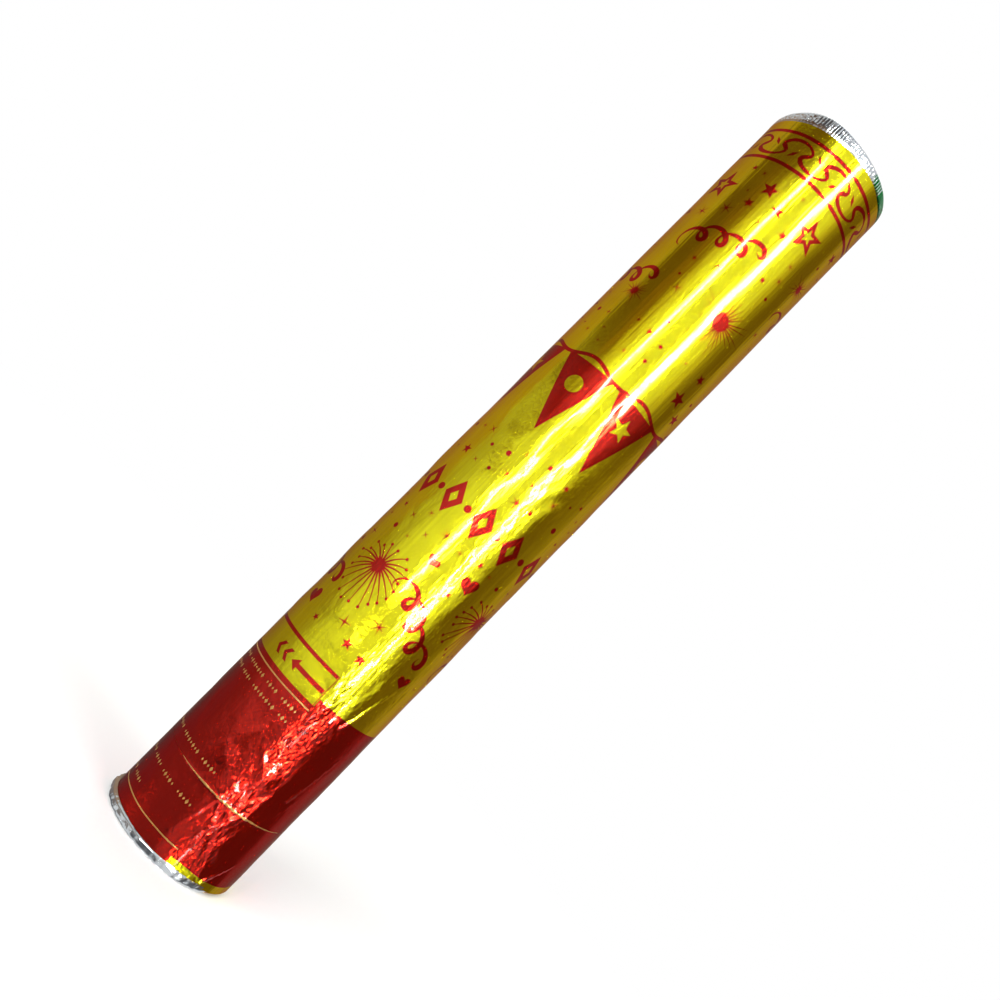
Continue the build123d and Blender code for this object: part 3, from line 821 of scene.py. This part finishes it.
def flat_sheet(low, high, edge_step=0.9):
    """The sheet laid flat: points, triangles, the number of each one's ink, and the loop of its edge."""
    edge_u, edge_v = spread(-half_sheet, half_sheet, edge_step), spread(low, high, edge_step)
    points = [Vector((u, v)) for v in (low, high) for u in edge_u]
    points += [Vector((u, v)) for u in (-half_sheet, half_sheet) for v in edge_v]
    for v in sheet_rows(low, high):
        points += [Vector((u, v)) for u in row_places(v)]
    edges, outlines = [], []
    for ink, outline in marks:
        if outline[:, 1].max() <= low or outline[:, 1].min() >= high:
            continue
        inside = np.clip(outline, (-half_sheet, low), (half_sheet, high))
        ring = dense(inside)
        first = len(points)
        edges += [(first + k, first + (k + 1) % len(ring)) for k in range(len(ring))]
        outlines.append((("gold", "red", "line").index(ink), inside))
        points += [Vector(point) for point in ring]
    verts, _, triangles, _, _, _ = delaunay_2d_cdt(points, edges, [], 0, 1e-4, False)
    flat = np.array([tuple(vert) for vert in verts])
    triangles = np.array(triangles)
    centre = flat[triangles].mean(1)
    inks = np.zeros(len(triangles), np.int32)
    for ink, outline in outlines:
        close = np.where(np.all((centre > outline.min(0)) & (centre < outline.max(0)), axis=1))[0]
        inks[close[within(centre[close], outline)]] = ink
    near = 1e-5
    sides = [np.where(np.abs(flat[:, axis] - place) < near)[0]
             for axis, place in ((1, low), (0, half_sheet), (1, high), (0, -half_sheet))]
    loop = []
    for number, side in enumerate(sides):
        order = flat[side, number % 2] * (1 if number < 2 else -1)
        loop += side[np.argsort(order)][:-1].tolist()
    return flat, triangles, inks, loop


def rolled(u, v, radius):
    """Places in metres of points of the sheet when it is rolled to a radius in millimetres."""
    angle = u / film_radius
    return np.stack([radius * np.sin(angle), -radius * np.cos(angle), v], 1) * mm


def film_sleeve(name, low, high, uneven_low, uneven_high, materials, blend_low=3.0, blend_high=3.0):
    """A closed sleeve of film: the printed outside, a plain inside on the board, and the thin cut edges."""
    inner_step, inner_from, inner_to, probe = 4.0, 2.5, 1.5, 0.06
    outside_share, inside_from = 0.97, 0.975
    flat, triangles, inks, loop = flat_sheet(low, high)
    inner_points = [Vector(flat[place]) for place in loop]
    inner_points += [Vector((u, v)) for v in np.arange(low + inner_from, high - inner_to, inner_step)
                     for u in np.arange(-half_sheet + inner_from, half_sheet - inner_to, inner_step)]
    inner_verts, _, inner_triangles, origins, _, _ = delaunay_2d_cdt(inner_points, [], [], 0, 1e-6, True)
    inner_u, inner_v = np.array([tuple(vert) for vert in inner_verts]).T
    inner_at = {given: place for place, ids in enumerate(origins) for given in ids}

    def lifted(u):
        return lap_step * eased(u, half_sheet - 3 * lap_width, half_sheet - lap_width)

    def level(u, v):
        share = (v - low) / (high - low)
        lowered = uneven_low(u) * np.exp((low - v) / blend_low) * (1 - share)
        return v + lowered + uneven_high(u) * np.exp((v - high) / blend_high)

    u, v = flat.T
    tight = board_radius + film_seat + film_rise
    outside = rolled(u, level(u, v), tight + film_height(u, v) + lifted(u))
    inside = rolled(inner_u, level(inner_u, inner_v), board_radius + film_seat + lifted(inner_u))
    lean_u = (film_height(u + probe, v) - film_height(u - probe, v)) / (2 * probe)
    lean_v = (film_height(u, v + probe) - film_height(u, v - probe)) / (2 * probe)
    angle = u / film_radius
    outward = np.stack([
        np.sin(angle) - lean_u * np.cos(angle), -np.cos(angle) - lean_u * np.sin(angle), -lean_v], 1)
    outward /= np.linalg.norm(outward, axis=1)[:, None]
    base = len(outside)
    inner_faces = [tuple(base + place for place in reversed(face)) for face in inner_triangles]
    rim = [(after, here, base + inner_at[k], base + inner_at[(k + 1) % len(loop)])
           for k, (here, after) in enumerate(zip(loop, loop[1:] + loop[:1]))]
    faces = triangles.tolist() + inner_faces + rim
    piece = new_piece(name, np.concatenate([outside, inside]), faces, materials)
    mesh = piece.data
    inked = np.zeros(len(mesh.polygons), np.int32)
    inked[:len(inks)] = inks
    mesh.polygons.foreach_set("material_index", inked)
    mesh.polygons.foreach_set("use_smooth", np.arange(len(inked)) < len(inked) - len(rim))
    amount = np.concatenate([crumple(u, v), np.zeros(len(inside))]).astype(np.float32)
    mesh.attributes.new("crumple", "FLOAT", "POINT").data.foreach_set("value", amount)
    across = np.concatenate([u, inner_u]) / (2 * half_sheet) + 0.5
    up = (np.concatenate([v, inner_v]) - low) / (high - low)
    corner = np.zeros(len(mesh.loops), np.int32)
    mesh.loops.foreach_get("vertex_index", corner)
    printed = np.arange(len(corner)) < 3 * len(triangles)
    outer, inner = outside_share * across[corner], inside_from + (1 - inside_from) * across[corner]
    spot = np.stack([np.where(printed, outer, inner), up[corner]], 1)
    mesh.uv_layers.new(name="OFBake").uv.foreach_set("vector", spot.astype(np.float32).ravel())
    mesh.update()
    normals = np.zeros((len(corner), 3), np.float32)
    mesh.corner_normals.foreach_get("vector", normals.ravel())
    normals[printed] = outward[corner[printed]]
    mesh.normals_split_custom_set(normals.tolist())
    return piece


def metallised_film(name, bright, deep, grazing, roughness, lacquer, handled, crackled):
    """Metallised polyester under clear tinted lacquer or ink: a coloured mirror that deepens at a slant.
    Fine streaks along the sheet come from the coating rolls, and fine crackle from crumpling."""
    cloud_mm, streak_mm, wander_mm, crackle_mm = 16.0, 0.9, 4.0, 1.4
    made, tree, place = new_material(name)
    cloud = add(tree, "ShaderNodeTexNoise", {"Vector": place, "Scale": per_metre(cloud_mm), "Detail": 3.0})
    drawn = add(tree, "ShaderNodeMapping", {"Vector": place, "Scale": (1.0, 1.0, 0.03)})
    streak = add(tree, "ShaderNodeTexNoise", {
        "Vector": drawn.outputs[0], "Scale": per_metre(streak_mm), "Detail": 3.0})
    uneven = add(tree, "ShaderNodeMath", {
        0: streak.outputs[0], 1: 0.9, 2: cloud.outputs[0]}, operation="MULTIPLY_ADD")
    share = add(tree, "ShaderNodeMapRange", {
        "Value": uneven.outputs[0], "From Min": 0.55, "From Max": 1.35})
    tone = add(tree, "ShaderNodeMix", {
        0: share.outputs[0], 6: linear(bright), 7: linear(deep)}, data_type="RGBA")
    wander = add(tree, "ShaderNodeTexNoise", {"Vector": place, "Scale": per_metre(wander_mm), "Detail": 2.0})
    strayed = add(tree, "ShaderNodeVectorMath", {
        0: wander.outputs["Color"], 1: (0.0016, 0.0016, 0.003), 2: place}, operation="MULTIPLY_ADD")
    tall = add(tree, "ShaderNodeMapping", {"Vector": strayed.outputs[0], "Scale": (1.0, 1.0, 0.55)})
    crackle = add(tree, "ShaderNodeTexVoronoi", {
        "Vector": tall.outputs[0], "Scale": per_metre(crackle_mm)}, feature="DISTANCE_TO_EDGE")
    amount = add(tree, "ShaderNodeAttribute", attribute_name="crumple")
    sheen = add(tree, "ShaderNodeMapRange", {
        "Value": streak.outputs[0], "To Min": roughness - 0.04, "To Max": roughness + 0.05})
    lined = add(tree, "ShaderNodeBump", {"Strength": 0.8, "Distance": 0.0001, "Height": streak.outputs[0]})
    strength = add(tree, "ShaderNodeMath", {
        0: amount.outputs["Fac"], 1: crackled, 2: handled}, operation="MULTIPLY_ADD")
    bump = add(tree, "ShaderNodeBump", {
        "Strength": strength.outputs[0], "Distance": 0.0003, "Height": crackle.outputs[0],
        "Normal": lined.outputs[0]})
    shader = add(tree, "ShaderNodeBsdfPrincipled", {
        "Base Color": tone.outputs[2], "Metallic": 1.0, "Roughness": sheen.outputs[0],
        "Specular Tint": linear(grazing), "Coat Weight": lacquer, "Coat Roughness": 0.06,
        "Normal": bump.outputs[0]})
    add(tree, "ShaderNodeOutputMaterial", {"Surface": shader.outputs[0]})
    return made


def bronze_ink(flake_mm=0.25):
    """Opaque gold ink: bronze flakes in a clear binder, screened thinly on the red, half matt.
    The flakes are drawn coarser than they are, so that they show."""
    made, tree, place = new_material("screened_bronze_ink")
    flake = add(tree, "ShaderNodeTexNoise", {"Vector": place, "Scale": per_metre(flake_mm), "Detail": 2.0})
    tone = add(tree, "ShaderNodeMix", {
        0: flake.outputs[0], 6: linear("#D2A45A"), 7: linear("#A87238")}, data_type="RGBA")
    shader = add(tree, "ShaderNodeBsdfPrincipled", {
        "Base Color": tone.outputs[2], "Metallic": 0.55, "Roughness": 0.28})
    add(tree, "ShaderNodeOutputMaterial", {"Surface": shader.outputs[0]})
    return made


gold_film = metallised_film("metallised_film_lemon_lacquer", "#EEEA16", "#DCD210", "#DCAC2C",
                            roughness=0.12, lacquer=0.3, handled=0.06, crackled=0.5)
red_film = metallised_film("metallised_film_red_ink", "#D22210", "#BE180C", "#9B4B39",
                           roughness=0.14, lacquer=0.45, handled=0.03, crackled=0.9)
film_inks = [gold_film, red_film, bronze_ink()]


def askew_foot(u):
    """The lower edge was cut out of square: it is lowest on the right. It is rucked too."""
    right_drop, left_drop, ruck_tall = film_bottom - 0.9, 0.7, 0.12
    lowest = eased(u, round_to(12), round_to(62)) * (1 - eased(u, round_to(118), round_to(165)))
    ruck = ruck_tall * np.sin(u / 3.1) * np.sin(u / 7.3)
    return left_drop * np.minimum(np.sin(u / film_radius), 0) - right_drop * lowest + ruck * (1 - lowest)


def torn_lip(u):
    """The two sleeves meet in a slightly wavy tear."""
    return 0.015 * np.sin(u / 1.7) * np.sin(u / 4.3)


def muzzle_edge(u):
    """The upper edge is wavy and a little out of square, and it was cut short on the right."""
    short = eased(u, round_to(22), round_to(55)) * (1 - eased(u, round_to(100), round_to(140)))
    return 0.12 * np.sin(u / 6.2) * np.sin(u / 11.7) - 0.3 * np.cos(u / film_radius + 0.6) - 0.45 * short


barrel_film = film_sleeve("barrel_film", twist_height + crack_gap, film_top, torn_lip, muzzle_edge,
                          film_inks)
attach(barrel_film, "barrel")
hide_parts("barrel_wrap")
grip_film = film_sleeve("grip_film", film_bottom, twist_height - crack_gap, askew_foot, torn_lip,
                        film_inks, blend_low=9.0)
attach(grip_film, "grip")
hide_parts("grip_wrap")


# End foils: squares of soft aluminium foil pressed over the ends of the tube. Each is gathered in pleats
# where it turns over the rim, and its edge is tucked under the film. The muzzle's is green on one side.
def crinkled_foil(name, bright, deep, roughness, crease_mm=1.6, haze_mm=3.0):
    """Soft rolled aluminium foil, crumpled by hand: flat bright facets between sharp creases."""
    made, tree, place = new_material(name)
    crease = add(tree, "ShaderNodeTexVoronoi", {
        "Vector": place, "Scale": per_metre(crease_mm)}, feature="DISTANCE_TO_EDGE")
    haze = add(tree, "ShaderNodeTexNoise", {"Vector": place, "Scale": per_metre(haze_mm), "Detail": 4.0})
    tone = add(tree, "ShaderNodeMix", {
        0: haze.outputs[0], 6: linear(bright), 7: linear(deep)}, data_type="RGBA")
    sheen = add(tree, "ShaderNodeMapRange", {
        "Value": haze.outputs[0], "To Min": roughness - 0.05, "To Max": roughness + 0.08})
    bump = add(tree, "ShaderNodeBump", {"Strength": 0.45, "Distance": 0.0002, "Height": crease.outputs[0]})
    shader = add(tree, "ShaderNodeBsdfPrincipled", {
        "Base Color": tone.outputs[2], "Metallic": 1.0, "Roughness": sheen.outputs[0],
        "Normal": bump.outputs[0]})
    add(tree, "ShaderNodeOutputMaterial", {"Surface": shader.outputs[0]})
    return made


def foil_end(name, face_height, crown, tuck_height, skirt_height, facing, pleats, pleat_depth, crumpled,
             swells_at, seed, materials, pressed_at=None, second_from=None):
    """A foil cup over a tube end: its face, a pleated bend over the rim and a skirt, as a closed thin shell.
    Creases are worked out on the flat sheet and run on over the rim. The rim swells in places, each given by
    its middle and width in degrees and how far it stands up and out."""
    face_rings, bend_rings, skirt_rings = 24, 9, 14
    segments, bend, foil_gauge, face_crease, flare = 840, 1.0, 0.045, 0.15, 0.16
    skirt_radius, tuck_radius = film_radius - 0.06, board_radius + 0.02
    flat_radius = skirt_radius - flare - bend
    rings = []
    for share in np.linspace(0.04, 1, face_rings):
        rings.append((flat_radius * share, face_height + facing * crown * (1 - share**2), 0.0, facing))
    for turn in np.linspace(0.16, math.pi / 2, bend_rings):
        rings.append((flat_radius + bend * math.sin(turn), face_height - facing * bend * (1 - math.cos(turn)),
                      math.sin(turn), facing * math.cos(turn)))
    foot = face_height - facing * bend
    for share in np.linspace(0.1, 1, skirt_rings):
        height = foot + (skirt_height - foot) * share
        along = (height - foot) / (tuck_height - foot)
        wide = skirt_radius - flare * (1 - min(along, 1))
        rings.append((wide + (tuck_radius - wide) * eased(along, 0.8, 1), height, 1.0, 0.0))
    rings = np.array(rings)
    steps = np.hypot(*np.diff(rings[:, :2], axis=0).T)
    path = np.concatenate([[rings[0, 0]], rings[0, 0] + np.cumsum(steps)])
    angle = np.linspace(0, 2 * math.pi, segments, endpoint=False)
    reach, turn = np.meshgrid(path, angle, indexing="ij")
    x, y = reach * np.sin(turn), -reach * np.cos(turn)
    rim = eased(reach, 0.62 * flat_radius, flat_radius + bend)
    crease = 0.55 * folds(x, y, 3.4, 3.4, seed + 1) + 0.45 * folds(x, y, 1.5, 1.5, seed + 2)

    def pleat(turn):
        wander = 0.35 * np.sin(3 * turn + seed) + 0.25 * np.sin(7 * turn + 2 * seed)
        return np.abs((turn * pleats / (2 * math.pi) + wander) % 1 * 2 - 1)

    def degrees_from(centre):
        return (np.degrees(turn) - centre + 180) % 360 - 180

    depth = 0.6 + 0.4 * np.sin(turn * 5 + seed) * np.sin(turn * 11 + 2.3)
    tucked = 1 - eased((rings[:, 1:2] - foot) / (tuck_height - foot), 0.75, 1)
    slack = 1 - np.clip((rings[:, 1:2] - foot) / (tuck_height - foot), 0, 1)
    pressed = np.zeros_like(turn)
    if pressed_at:
        centre, half = pressed_at
        pressed = 1 - eased(np.abs(degrees_from(centre)), half - 18, half + 12)
    creased = crease * (face_crease + (crumpled - face_crease) * rim)
    raised = (creased + pleat_depth * pleat(turn) * depth * rim) * (0.1 + 0.9 * tucked) * (1 - 0.95 * pressed)
    upward, outward = 0.0, (tuck_radius - skirt_radius) * pressed
    for centre, width, rise, bulge in swells_at:
        near = np.exp(-((degrees_from(centre) / width) ** 2)) * eased(reach, 0.5 * flat_radius, flat_radius)
        upward, outward = upward + rise * near * slack, outward + bulge * near * tucked
    radius, height, out, up = (rings[:, k][:, None] for k in range(4))
    shells = []
    for lift in (raised, -foil_gauge):
        across, level = radius + out * lift + outward, np.maximum(height + up * lift + upward, 0)
        shells.append(np.stack([across * np.sin(turn), -across * np.cos(turn), level], 2).reshape(-1, 3))
    count = len(rings)
    middles = [[0, 0, face_height + facing * crown], [0, 0, face_height + facing * (crown - foil_gauge)]]
    verts = np.concatenate(shells + [middles]) * mm
    inner = count * segments
    faces = []
    for k in range(segments):
        after = (k + 1) % segments
        faces.append((2 * inner, k, after))
        faces.append((2 * inner + 1, inner + after, inner + k))
        for ring in range(count - 1):
            here, there = ring * segments, (ring + 1) * segments
            faces.append((here + k, there + k, there + after, here + after))
            faces.append((inner + here + after, inner + there + after, inner + there + k, inner + here + k))
        last = (count - 1) * segments
        faces.append((last + k, inner + last + k, inner + last + after, last + after))
    if facing < 0:
        faces = [face[::-1] for face in faces]
    piece = new_piece(name, verts, faces, materials)
    if second_from:
        start, end = second_from
        plain_middle, bare_within, pleat_top = 9, 15, 0.66
        for face in piece.data.polygons:
            around = math.atan2(face.center.x, -face.center.y)
            degrees = math.degrees(around)
            ragged = 4 * math.sin(900 * face.center.z) + 3 * math.sin(700 * face.center.x)
            green_from = plain_middle + 2 * math.sin(degrees / 5)
            outer_part = math.hypot(face.center.x, face.center.y) / mm > green_from
            bare = degrees < start + bare_within and pleat(around) > pleat_top
            face.material_index = int(outer_part and not bare and start + ragged < degrees < end + ragged)
    return piece


silver_foil = crinkled_foil("crumpled_aluminium_foil", "#D6DADC", "#B2B8BC", 0.12)
green_foil = crinkled_foil("crumpled_green_lacquered_foil", "#0E8A44", "#066030", 0.17)
cover_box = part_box("muzzle_cover")
base_lift, base_tuck = 0.16, 4.6
base_end = foil_end("base_foil_cap", face_height=base_lift, crown=0.0, tuck_height=film_bottom,
                    skirt_height=base_tuck, facing=-1, pleats=40, pleat_depth=0.1, crumpled=0.75,
                    swells_at=((-68, 40, 0.0, 0.9),), seed=31, materials=[silver_foil], pressed_at=(88, 48))
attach(base_end, "grip")
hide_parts("base_foil")
rim_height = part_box("barrel_tube")[1].z / mm + 0.1
cover_crown = cover_box[1].z / mm - rim_height - 0.3
cover_tuck = film_top - 1.2
muzzle_end = foil_end("muzzle_foil_cap", face_height=rim_height, crown=cover_crown, tuck_height=film_top,
                      skirt_height=cover_tuck, facing=1, pleats=130, pleat_depth=0.16, crumpled=0.12,
                      swells_at=((-28, 34, 2.0, 0.0),), seed=57, materials=[silver_foil, green_foil],
                      second_from=(30, 92))
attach(muzzle_end, "cover")
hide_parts("muzzle_cover")


# Stage: a sheet of pale paper that keeps the shadow near the popper and runs out into the white ground.
# Metal doesn't mirror it, because the tent round the stage goes on below it.
def pale_floor(clear_from=0.12, clear_to=0.5):
    made, tree, place = new_material("pale_floor")
    away = add(tree, "ShaderNodeVectorMath", {0: place}, operation="LENGTH")
    fade = add(tree, "ShaderNodeMapRange", {
        "Value": away.outputs["Value"], "From Min": clear_from, "From Max": clear_to},
        interpolation_type="SMOOTHSTEP")
    paper = add(tree, "ShaderNodeBsdfDiffuse", {"Color": linear("#F8F8F7")})
    white = add(tree, "ShaderNodeEmission", {"Strength": 1.0})
    path = add(tree, "ShaderNodeLightPath")
    seen = add(tree, "ShaderNodeMath", {
        0: path.outputs["Is Camera Ray"], 1: fade.outputs[0]}, operation="MULTIPLY")
    mixed = add(tree, "ShaderNodeMixShader", {0: seen.outputs[0], 1: paper.outputs[0], 2: white.outputs[0]})
    add(tree, "ShaderNodeOutputMaterial", {"Surface": mixed.outputs[0]})
    return made


floor_half, floor_drop = 4.0, 0.00005
floor_signs = ((-1, -1), (1, -1), (1, 1), (-1, 1))
floor_corners = [(x * floor_half, y * floor_half, -floor_drop) for x, y in floor_signs]
floor = new_piece("floor", floor_corners, [(0, 1, 2, 3)], [pale_floor()])
floor.visible_glossy = False
floor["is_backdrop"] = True


# Studio: a white cloth tent for the metal to mirror, with soft grey and brown flags on its wall and five
# strip lamps. It stands all round and reaches below the floor, and only mirror rays see it. Three soft
# boxes light the rest.
def only_mirrored(card):
    """Hides a card from all but mirror rays."""
    card.visible_camera = False
    card.visible_diffuse = False
    card.visible_transmission = False
    card.visible_shadow = False
    card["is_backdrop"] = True


def tent_wall(flags, radius=1.4, columns=360):
    """A round wall that glows white, with flags. Each has from, to and blur in degrees, from, to and blur
    in metres, and a colour. The wall's rows, by from, to and step, are close at the flags' sharp edges."""
    white = 0.94
    bands = ((-2.6, -0.7, 0.1), (-0.65, -0.45, 0.01), (-0.44, 1.1, 0.04), (1.1, 1.24, 0.01),
             (1.25, 2.91, 0.1))
    levels = np.concatenate([np.arange(*band) for band in bands])
    rows = len(levels) - 1
    azimuth, height = np.meshgrid(np.linspace(-180, 180, columns + 1), levels)
    glow = np.full(azimuth.shape + (4,), white)
    for start, end, soft, bottom, top, blur, colour in flags:
        cover = eased(azimuth, start - soft, start + soft) * (1 - eased(azimuth, end - soft, end + soft))
        cover = cover * eased(height, bottom - blur, bottom + blur)
        cover = cover * (1 - eased(height, top - blur, top + blur))
        glow[..., :3] += (np.array(colour) - glow[..., :3]) * cover[..., None]
    made, tree = new_material("white_tent")[:2]
    shade = add(tree, "ShaderNodeAttribute", attribute_name="glow")
    lit = add(tree, "ShaderNodeEmission", {"Color": shade.outputs["Color"]})
    add(tree, "ShaderNodeOutputMaterial", {"Surface": lit.outputs[0]})
    made.cycles.emission_sampling = "NONE"
    angle = np.radians(azimuth)
    verts = np.stack([radius * np.sin(angle), -radius * np.cos(angle), height], -1).reshape(-1, 3)
    wide = columns + 1
    faces = [(k * wide + n, (k + 1) * wide + n, (k + 1) * wide + n + 1, k * wide + n + 1)
             for k in range(rows) for n in range(columns)]
    wall = new_piece("tent_wall", verts, faces, [made])
    shades = wall.data.attributes.new("glow", "FLOAT_COLOR", "POINT")
    shades.data.foreach_set("color", glow.astype(np.float32).ravel())
    only_mirrored(wall)


# The flags. past_side and past_end lie beyond the wall, in degrees and in metres.
dark, brown = (0.155, 0.083, 0.05), (0.17, 0.1, 0.06)
amber, ochre = (0.46, 0.30, 0.20), (0.45, 0.32, 0.26)
past_side, past_end = 400, 9
roof_edge, floor_edge = 1.21, -0.6
tent_wall((
    (-97, -33, 11, 0.46, past_end, 0.16, (0.8, 0.6, 0.36)),
    (58, past_side, 14, -past_end, past_end, 0.1, (0.82, 0.66, 0.42)),
    (-97, -41, 11, 0.42, past_end, 0.16, dark),
    (-97, -26, 8, 1.06, past_end, 0.05, dark),
    (-60, -50, 5, 0.5, 1.02, 0.12, (0.29, 0.14, 0.075)),
    (-past_side, -62, 30, -past_end, 0.5, 0.2, (0.5, 0.45, 0.4)),
    (70, past_side, 20, -past_end, past_end, 0.1, brown),
    (56, past_side, 9, -past_end, 0.45, 0.12, brown),
    (90, past_side, 18, -0.12, 0.45, 0.12, (0.27, 0.18, 0.12)),
    (-past_side, -97, 5, -past_end, past_end, 0.1, amber),
    (-past_side, -80, 20, -past_end, 0.15, 0.2, (0.36, 0.26, 0.18)),
    (112, past_side, 7, -past_end, past_end, 0.1, ochre),
    (-past_side, 0, 10, -past_end, -0.24, 0.22, (0.27, 0.22, 0.2)),
    (0, 56, 10, -past_end, -0.2, 0.15, (0.5, 0.49, 0.48)),
    (-past_side, -68, 6, roof_edge, past_end, 0.012, (0.85, 0.85, 0.83)),
    (-68, -22, 4, roof_edge, past_end, 0.012, (0.1, 0.1, 0.11)),
    (-22, 66, 4, roof_edge, past_end, 0.012, (1.05, 1.05, 1.07)),
    (66, past_side, 4, roof_edge, past_end, 0.012, (0.9, 0.9, 0.9)),
    (-past_side, past_side, 4, -past_end, floor_edge, 0.015, (1.0, 1.0, 1.0)),
    *((start, start + 55, 14, -past_end, floor_edge, 0.015, (0.14, 0.14, 0.15)) for start in (-165, -50, 62)),
))


def tent_card(name, start, end, strength, colour="#FFFFFF", radius=1.3, low=-2.6, high=2.9):
    """An upright curved lamp from one azimuth to another, in degrees from the camera's side."""
    made, tree = new_material(name)[:2]
    glow = add(tree, "ShaderNodeEmission", {"Color": linear(colour), "Strength": strength})
    add(tree, "ShaderNodeOutputMaterial", {"Surface": glow.outputs[0]})
    made.cycles.emission_sampling = "NONE"
    angles = np.radians(spread(start, end, 3))
    verts = [(radius * math.sin(a), -radius * math.cos(a), z) for a in angles for z in (low, high)]
    faces = [(2 * k, 2 * k + 1, 2 * k + 3, 2 * k + 2) for k in range(len(angles) - 1)]
    only_mirrored(new_piece(name, verts, faces, [made]))


tent_card("strip_left", -15.1, -10.8, 65.0, low=0.05, high=1.05)
tent_card("strip_right", 27.2, 32.9, 80.0, low=-0.2, high=1.16)
tent_card("strip_twist", 29.0, 31.0, 12.0, low=-0.41, high=-0.2)
tent_card("strip_foot", 28.8, 31.2, 24.0, low=-0.6, high=-0.41)
tent_card("strip_rear", 176.0, 183.0, 8.0, low=-1.2)

world = bpy.data.worlds.new("white_ground")
bpy.context.scene.world = world
world.use_nodes = True
world.node_tree.nodes.clear()
path = add(world.node_tree, "ShaderNodeLightPath")
mirrored = add(world.node_tree, "ShaderNodeMath", {
    0: path.outputs["Is Glossy Ray"], 1: path.outputs["Is Transmission Ray"]}, operation="MAXIMUM")
seen = add(world.node_tree, "ShaderNodeMath", {
    0: path.outputs["Is Camera Ray"], 1: mirrored.outputs[0]}, operation="MAXIMUM")
ground_fill = 0.55
level = add(world.node_tree, "ShaderNodeMapRange", {
    "Value": seen.outputs[0], "To Min": ground_fill, "To Max": 1.0})
sky = add(world.node_tree, "ShaderNodeBackground", {"Color": (1, 1, 1, 1), "Strength": level.outputs[0]})
add(world.node_tree, "ShaderNodeOutputWorld", {"Surface": sky.outputs[0]})


def soft_lamp(name, place, size, power):
    """A square soft box, aimed at the middle of the popper. The tent stands for it in mirrors."""
    lamp = bpy.data.lights.new(name, "AREA")
    lamp.size = size
    lamp.energy = power
    lit = bpy.data.objects.new(name, lamp)
    lit.location = place
    lit.rotation_mode = "QUATERNION"
    lit.rotation_quaternion = (Vector((0, 0, cad_high.z / 2)) - Vector(place)).to_track_quat("-Z", "Y")
    lit.visible_glossy = False
    bpy.context.scene.collection.objects.link(lit)


soft_lamp("key", (-0.7, -0.9, 1.1), size=0.9, power=14)
soft_lamp("fill", (0.9, -0.7, 0.9), size=0.9, power=9)
soft_lamp("rear", (0.2, 1.2, 1.2), size=0.9, power=7)

# Camera: at the photograph's angle, found from the outline of the tube. It is close, level with the middle
# of the tube, and rolled so that the tube leans to the right.
camera_place = Vector((-7.2, -309.7, 117.1)) * mm
camera_yaw, camera_pitch, camera_roll = -0.021, 0.0888, 0.7778
focal_share = 0.972
camera = bpy.data.cameras.new("camera")
camera.sensor_width = 36.0
camera.lens = focal_share * camera.sensor_width
camera.clip_start = 0.01
viewer = bpy.data.objects.new("camera", camera)
aim = Matrix.Rotation(camera_yaw, 4, "Z") @ Matrix.Rotation(math.pi / 2 + camera_pitch, 4, "X")
viewer.matrix_world = Matrix.Translation(camera_place) @ aim @ Matrix.Rotation(camera_roll, 4, "Z")
bpy.context.scene.collection.objects.link(viewer)
bpy.context.scene.camera = viewer
bpy.context.scene.view_settings.view_transform = "Standard"

low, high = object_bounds()
